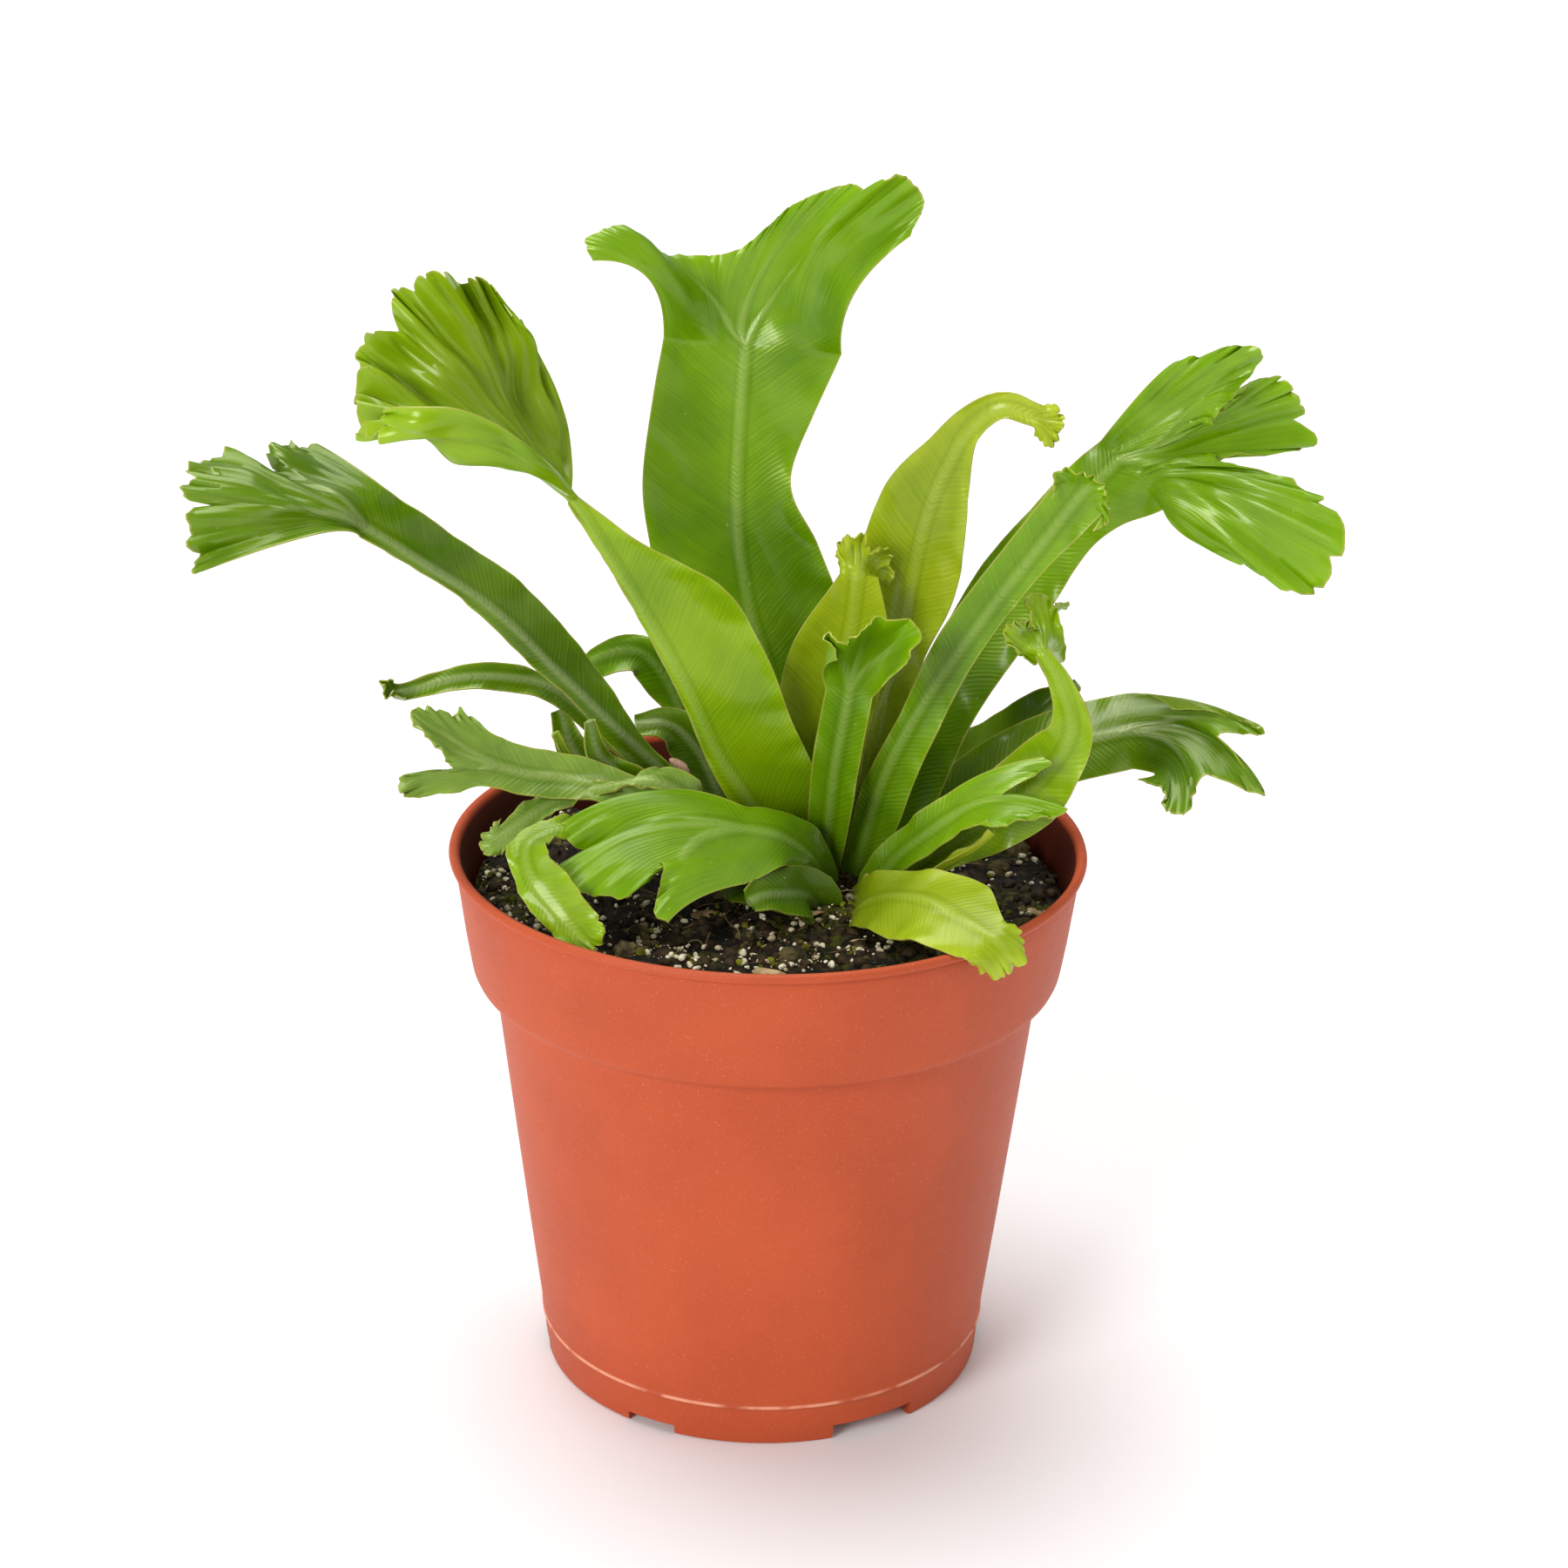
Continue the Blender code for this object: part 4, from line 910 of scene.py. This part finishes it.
frond("leaf_left_pointed", old, "frond_dark",
      [(-8, -1, 89), (-16, -3, 98), (-22, -3, 105), (-28, -4, 111), (-30, -6, 119)],
      ([2, 1, 1, 1, 2.5, 1], [2, 2, 3, 3.5, 2, 1]), [(0, -0.7, 0.7)],
      cup=[30])

# ------------------------------------------------------------
# The fronds at the front.  They arch low over the mix: a broad lobed one and a slender one to the left,
# one that hangs inside the lip, a pale one over the lip on the right, a yellow sprout, and two dark
# leaves beneath.
frond("frond_front_left", mature, "frond_fresh",
      [(10, -9, 90), (7, -13, 98), (2, -16, 103), (-4, -18, 105)],
      ([3, 3, 3, 4, 7, 10], [3, 4.5, 5.5, 6, 5.5, 5]), [(0, -0.6, 1)],
      cup=[20, 10, -10, -15], ribs=(-0.6, 0.5), flare=(20, 20), reach=0.6, teeth=(0.9, 4.5), curl=(0.9, 6),
      crest=[(-54, 24, -3), (-47, 24, -3), (-31, 17, -2), (-35, 25, -5), (-22, 30, -9), (-14, 30, -10),
             (-12, 23, -8), (-5, 27, -9), (3, 29, -9), (0, 26, -9)])
frond("frond_front_fork", pale_sheen, "frond_dark",
      [(1, -5, 90), (-8, -8, 100), (-15, -10, 108), (-19, -11, 110), (-27, -11, 109), (-33, -12, 108),
       (-38, -14, 106), (-43, -17, 103)],
      ([2, 2, 2, 2, 1.6, 0.8, 1.6, 2.2, 2], [2, 2, 2, 3, 4, 1, 2, 2.6, 2]), [(0, -0.6, 0.9)],
      ribs=(-0.5, 0.5), wave=(0.7, 7), swell=(1, 16), teeth=(0.8, 2.4), folds=(0.8, 6), curl=(0.8, 3),
      crest=[(-100, 3, 0), (-30, 4, -1), (10, 5, -1), (50, 4, 0), (110, 3, 0)])
young = leaf_finish("leaf_young", (0.190, 0.285, 0.0), (0.350, 0.440, 0.010), (0.250, 0.340, 0.003),
                    (0.420, 0.520, 0.120), 0.38, 0.2)
frond("frond_rim_droop", fresh, "frond_dark",
      [(-1, -12, 89), (-23, -17, 103), (-33, -21, 106), (-39, -26, 105), (-38, -31, 101), (-33, -35, 96),
       (-30, -38, 94)],
      ([2, 2.5, 2, 1.5, 2, 4, 6, 5], [2, 3, 3, 1.5, 2, 3, 3, 3]),
      [(0, -0.3, 1), (0, -0.6, 1), (-0.4, -0.6, 0.6), (-0.4, -0.6, 0.5)],
      cup=[0, 0, 10, 20, 20], wave=(0.8, 9), swell=(0.8, 20), teeth=(1, 2.4), folds=(0.8, 6), curl=(0.8, 3),
      crest=[(-105, 5, 0), (-50, 5, 0), (-10, 4, 0), (40, 4, 0), (105, 3, 0)])
frond("frond_front_right", young, "frond_young",
      [(14, -18, 89), (16, -23, 94), (20, -27, 97), (26, -33, 99), (31, -39, 99), (35, -43, 98)],
      ([7, 6, 5.5, 6.5, 8, 4], [2, 3.5, 6.5, 8.5, 8, 5.5]), [(0.1, -0.8, 0.9)],
      cup=[10, 0, -10], teeth=(0.6, 2.6), folds=(0.8, 9), curl=(0.5, 4),
      crest=[(-110, 4, 0), (-55, 5, -2), (-24, 6, -4), (-6, 5, -5), (16, 4, -5), (45, 4, -6), (103, 4, -4)])
frond("sprout_yellow", young, "frond_young",
      [(18, -16, 89), (23, -19, 95), (28, -20, 99), (33, -22, 103), (37, -23, 107)],
      [1.5, 1.8, 1.6, 1.5, 1], cup=[60])
frond("leaf_front_dark", old, "frond_dark",
      [(2, -13, 89), (4, -14, 92), (1, -17, 95), (-3, -20, 96), (-7, -23, 95)],
      ([2.5, 4, 5.5, 6.5, 4.5, 2], [2.5, 4, 6, 4.5, 2.5, 1.5]), [(0, -0.7, 0.7)],
      cup=[20])
frond("leaf_front_low", old, "frond_dark",
      [(8, -17, 89), (7, -19, 93), (4, -22, 95), (0, -25, 96), (-3, -28, 96)],
      [3, 5, 5, 4, 2], [(0, -0.7, 0.7)],
      cup=[20])

# ------------------------------------------------------------
# The young fronds in the middle: a tall pale one with a hooked tip, a yellow-green one with a small
# tight crest, and a fresh green strap that ends in a fan.
frond("frond_pale", young, "frond_young",
      [(13, 4, 90), (17, 4, 113), (21, 5, 129), (26, 4, 154), (29, 3, 162), (32, 2, 168), (37, 0, 172),
       (42, -1, 171)],
      ([2.5, 3.5, 6, 8.5, 9.5, 8.5, 4, 2.5], [3, 5, 5, 5, 8, 7, 2.5, 1.5]), [(-0.2, -1, 0.3)],
      roll=[0, 0, 0, 0, 10], cup=[10, 20, 20, 30], swell=(2.2, 18), teeth=(0.8, 2), folds=(1, 5),
      curl=(0.7, 2.6),
      crest=[(-60, 2, -1), (-50, 4, 0), (-20, 5, 0), (10, 5, 0), (45, 6, 0), (73, 3, 0)])
frond("frond_new_crested", young, "frond_young",
      [(9, 2, 91), (8, 1, 108), (10, 0, 122), (13, -2, 134), (14, -3, 144)],
      ([3, 4.5, 6, 8, 9, 8, 3], [3, 5.5, 7.5, 8, 8, 6.5, 3.5]), FRONT,
      cup=[30, 30, 20], lobes=(0.8, 6), teeth=(1, 2.4), folds=(1.6, 6), curl=(0.8, 3),
      bend=[(-110, 3, -3), (-30, 3, -3), (20, 2, -5), (130, 5, -7)],
      crest=[(-108, 3, -5), (-52, 5, -3), (-32, 7, -1), (-9, 7, -1), (15, 6, -1), (47, 5, -2), (96, 6, -4),
             (131, 7, -6)])
frond("frond_new_fan", mature, "frond_fresh",
      [(9, -3, 90), (10, -5, 100), (11, -7, 112), (13, -9, 126)],
      [2.5, 3.5, 4, 4], FRONT,
      cup=[20], ribs=(-0.5, 0.5), flare=(30, 30), reach=0.4, teeth=(0.7, 4), curl=(0.7, 5),
      crest=[(-18, 10, 8), (-21, 14, 6), (-7, 13, 8), (4, 17, 6), (27, 19, 5), (31, 16, 10), (27, 10, 13)])

# ------------------------------------------------------------
# The fronds on the right: a long plain strap, a big glossy one whose crest divides in three, a strap
# that twists upright, one that reaches far out past the lip, and short ones at their feet.
frond("frond_right_main", mature, "frond_fresh",
      [(15, -2, 90), (19, -4, 108), (25, -6, 122), (31, -8, 133), (39, -10, 146), (45, -11, 155),
       (49, -12, 161)],
      ([2.5, 3, 2.5, 4.5, 4.5, 4.5], [3, 5, 4.5, 3, 3, 4.5]), FRONT,
      cup=[10, 15, 15, 20], teeth=(0.7, 2.4), folds=(1, 7), curl=(0.8, 4),
      crest=[(-125, 4, 2), (-70, 6, 3), (-20, 5, 1), (40, 5, 1), (85, 6, 2), (105, 5, 5)])
frond("frond_right_big", mature, "frond_dark",
      [(17, 5, 90), (24, 9, 106), (31, 11, 122), (39, 12, 134), (47, 11, 146), (53, 9, 156), (57, 8, 161)],
      ([3, 3, 3.5, 5.5, 7, 6, 4.5], [3, 7, 7, 7.5, 7, 6, 11]), [(-0.1, -1, 0.5)],
      cup=[20, 20, 10, 0], ribs=(-0.7, -0.3, 0.5), swell=(2.4, 22), lobes=(1.2, 9), teeth=(1, 2.8),
      folds=(1.4, 12), curl=(0.7, 4),
      bend=[(-23, 15, 2), (-10, 15, 2), (6, 19, 1), (29, 11, 1), (25, 10, 0), (39, 12, 0), (30, 6, 2),
            (39, 10, 3), (98, 15, 2)],
      crest=[(-15, 19, 1), (-6, 23, 2), (1, 29, 2), (8, 31, 2), (15, 23, 1), (21, 17, -1), (14, 26, -5),
             (19, 30, -7), (30, 30, -10), (42, 29, -12), (41, 16, -1), (50, 29, -2), (58, 39, -1),
             (72, 41, 0), (80, 36, 2), (84, 24, -1)])
frond("frond_right_twist", fresh, "frond_young",
      [(19, -8, 89), (25, -10, 95), (36, -14, 105), (45, -17, 115), (49, -18, 123), (47, -17, 131),
       (44, -16, 136)],
      ([3, 2, 3.5, 5.5, 6.5, 5.5, 2.5, 1.5], [3, 3, 3.5, 5.5, 6.5, 4.5, 2.5, 1]), [(-0.1, -1, 0.4)],
      cup=[20], teeth=(0.5, 2.4), folds=(0.6, 6), curl=(0.5, 3),
      bend=[(-150, 3, -6), (-40, 3, -4), (30, 4, -10), (72, 3, -12), (170, 6, -10)],
      crest=[(-125, 3, -3), (-48, 6, 0), (-20, 8, 1), (0, 5, -2), (8, 3, -6), (10, 8, -8), (38, 8, -10),
             (80, 5, -10), (150, 5, -9)])
frond("leaf_right_dark", old, "frond_dark",
      [(19, 12, 88), (28, 17, 97), (36, 20, 102), (43, 22, 106), (49, 22, 112), (53, 22, 116)],
      [2, 4, 5.5, 6, 5, 1.5], [(0, -0.6, 1)], cup=[30])
frond("frond_far_right", old, "frond_dark",
      [(19, 7, 89), (27, 11, 95), (38, 14, 102), (50, 13, 108), (60, 10, 112)],
      [2.5, 4, 5.5, 6.5, 6.5], [(0, -1, 0.4)],
      cup=[10, 10, 0, -10], ribs=(-0.5, 0.3), flare=(0, 20), reach=0.6, teeth=(1.1, 3.5), curl=(0.7, 5),
      crest=[(-11, 10, 1), (3, 19, 2), (13, 26, 3), (14, 18, 3), (34, 28, 4), (35, 18, 7), (53, 19, 11),
             (61, 17, 12), (55, 13, 10), (64, 9, 10)])
frond("frond_right_short", mature, "frond_fresh",
      [(17, -11, 90), (21, -14, 98), (26, -17, 104), (31, -19, 109)],
      [2.5, 3.5, 4, 4], [(0, -0.7, 1)], cup=[20], flare=(0, 20), curl=(0.7, 4), teeth=(1, 3),
      crest=[(-4, 17, -3), (2, 17, -4), (10, 8, -2), (22, 16, -7), (28, 17, -7), (35, 13, -3),
             (49, 9, 0), (43, 7, 0)])

# ------------------------------------------------------------
# The fronds at the back, mostly hidden from the front: two that arch over to the left, and four that
# fill the far side of the plant.
frond("frond_back_arch", mature, "frond_dark",
      [(-1, 12, 89), (-6, 16, 92), (-12, 19, 102), (-18, 23, 115), (-23, 24, 120), (-30, 23, 119),
       (-33, 22, 117)],
      ([3, 1.5, 1.5, 1, 4, 4, 3], [2, 3, 3, 3, 3.5, 3, 1]), [(0, -0.7, 0.7)])
frond("frond_back_low", old, "frond_dark",
      [(-3, 18, 89), (-7, 12, 95), (-12, 16, 104), (-17, 17, 109), (-23, 15, 110)],
      [2, 3, 4, 4.5, 4, 2], [(0, -0.7, 0.7)])
frond("frond_rear_tall", old, "frond_dark",
      [(6, 13, 90), (0, 24, 117), (-6, 36, 138), (-9, 46, 150), (-11, 53, 153)],
      [3, 7, 9, 9, 7], [(0, -0.6, 0.6)], cup=[20], curl=(0.7, 5), teeth=(0.8, 4),
      crest=[(-64, 9, 0), (-25, 6, -1), (32, 4, -3), (90, 5, -5)])
frond("frond_rear_right", mature, "frond_dark",
      [(14, 16, 89), (22, 24, 103), (31, 33, 113), (40, 39, 119), (47, 43, 121)],
      [2.5, 4, 5, 5, 4], cup=[20], curl=(0.6, 4), teeth=(0.7, 3),
      crest=[(-60, 4, -3), (-20, 7, -2), (20, 6, 1), (60, 4, 3)])
frond("frond_rear_left", mature, "frond_dark",
      [(3, 22, 89), (-6, 28, 103), (-14, 34, 115), (-20, 41, 123), (-24, 47, 125)],
      [2.5, 4, 5.5, 5, 2], cup=[20])
frond("frond_rear_low", fresh, "frond_dark",
      [(8, 19, 89), (9, 28, 100), (11, 38, 106), (12, 48, 106), (13, 57, 101)],
      [3, 5, 6, 6, 2], cup=[20, 0, -10])

# ------------------------------------------------------------
# The setting: a plain pale floor, a soft lamp on the left in front and not far above the plant, a weak
# broad one on the right in front, a broad one nearly overhead, even light all round, and the camera a
# little above the plant.
floor_mesh = bpy.data.meshes.new("floor")
floor_mesh.from_pydata([(-6, -6, 0), (6, -6, 0), (6, 6, 0), (-6, 6, 0)], [], [(0, 1, 2, 3)])
white, white_shader, _ = finish_of("floor_white")
feed(white_shader, dict(Base_Color=(0.92, 0.92, 0.92, 1.0), Roughness=0.9))
floor_mesh.materials.append(white)
add_object("floor", floor_mesh)

scene = bpy.context.scene
scene.world = bpy.data.worlds.new("studio")
scene.world.use_nodes = True
feed(scene.world.node_tree.nodes["Background"], dict(Color=(1.0, 1.0, 1.0, 1.0), Strength=0.28))
scene.view_settings.view_transform = "Standard"


def add_sun(name, way, strength, spread):
    """A distant soft lamp that shines along way."""
    lamp = bpy.data.lights.new(name, "SUN")
    lamp.energy = strength
    lamp.angle = np.radians(spread)
    made = add_object(name, lamp)
    made.rotation_mode = "QUATERNION"
    made.rotation_quaternion = Vector(way).to_track_quat("-Z", "Y")


add_sun("key", (0.6, 0.75, -0.42), 2.1, 26)
add_sun("fill", (-0.8, 0.45, -0.5), 0.5, 60)
add_sun("top", (0.15, -0.3, -1.0), 2.5, 50)

ELEVATION, LEAN = np.radians(22.3), np.radians(0.94)
LOOK_AT, DISTANCE = (0.0025, 0, 0.1056), 0.65
back = Vector((0, -np.cos(ELEVATION), np.sin(ELEVATION)))
level = Vector((1, 0, 0))
up = Vector((0, np.sin(ELEVATION), np.cos(ELEVATION)))
right = level * np.cos(LEAN) + up * np.sin(LEAN)
up = up * np.cos(LEAN) - level * np.sin(LEAN)
camera = bpy.data.cameras.new("camera")
camera.lens = 88.6
camera.sensor_width = 36.0
camera.clip_start = 0.05
scene.camera = add_object("camera", camera)
scene.camera.rotation_mode = "QUATERNION"
scene.camera.rotation_quaternion = Matrix((right, up, back)).transposed().to_quaternion()
scene.camera.location = Vector(LOOK_AT) + back * DISTANCE
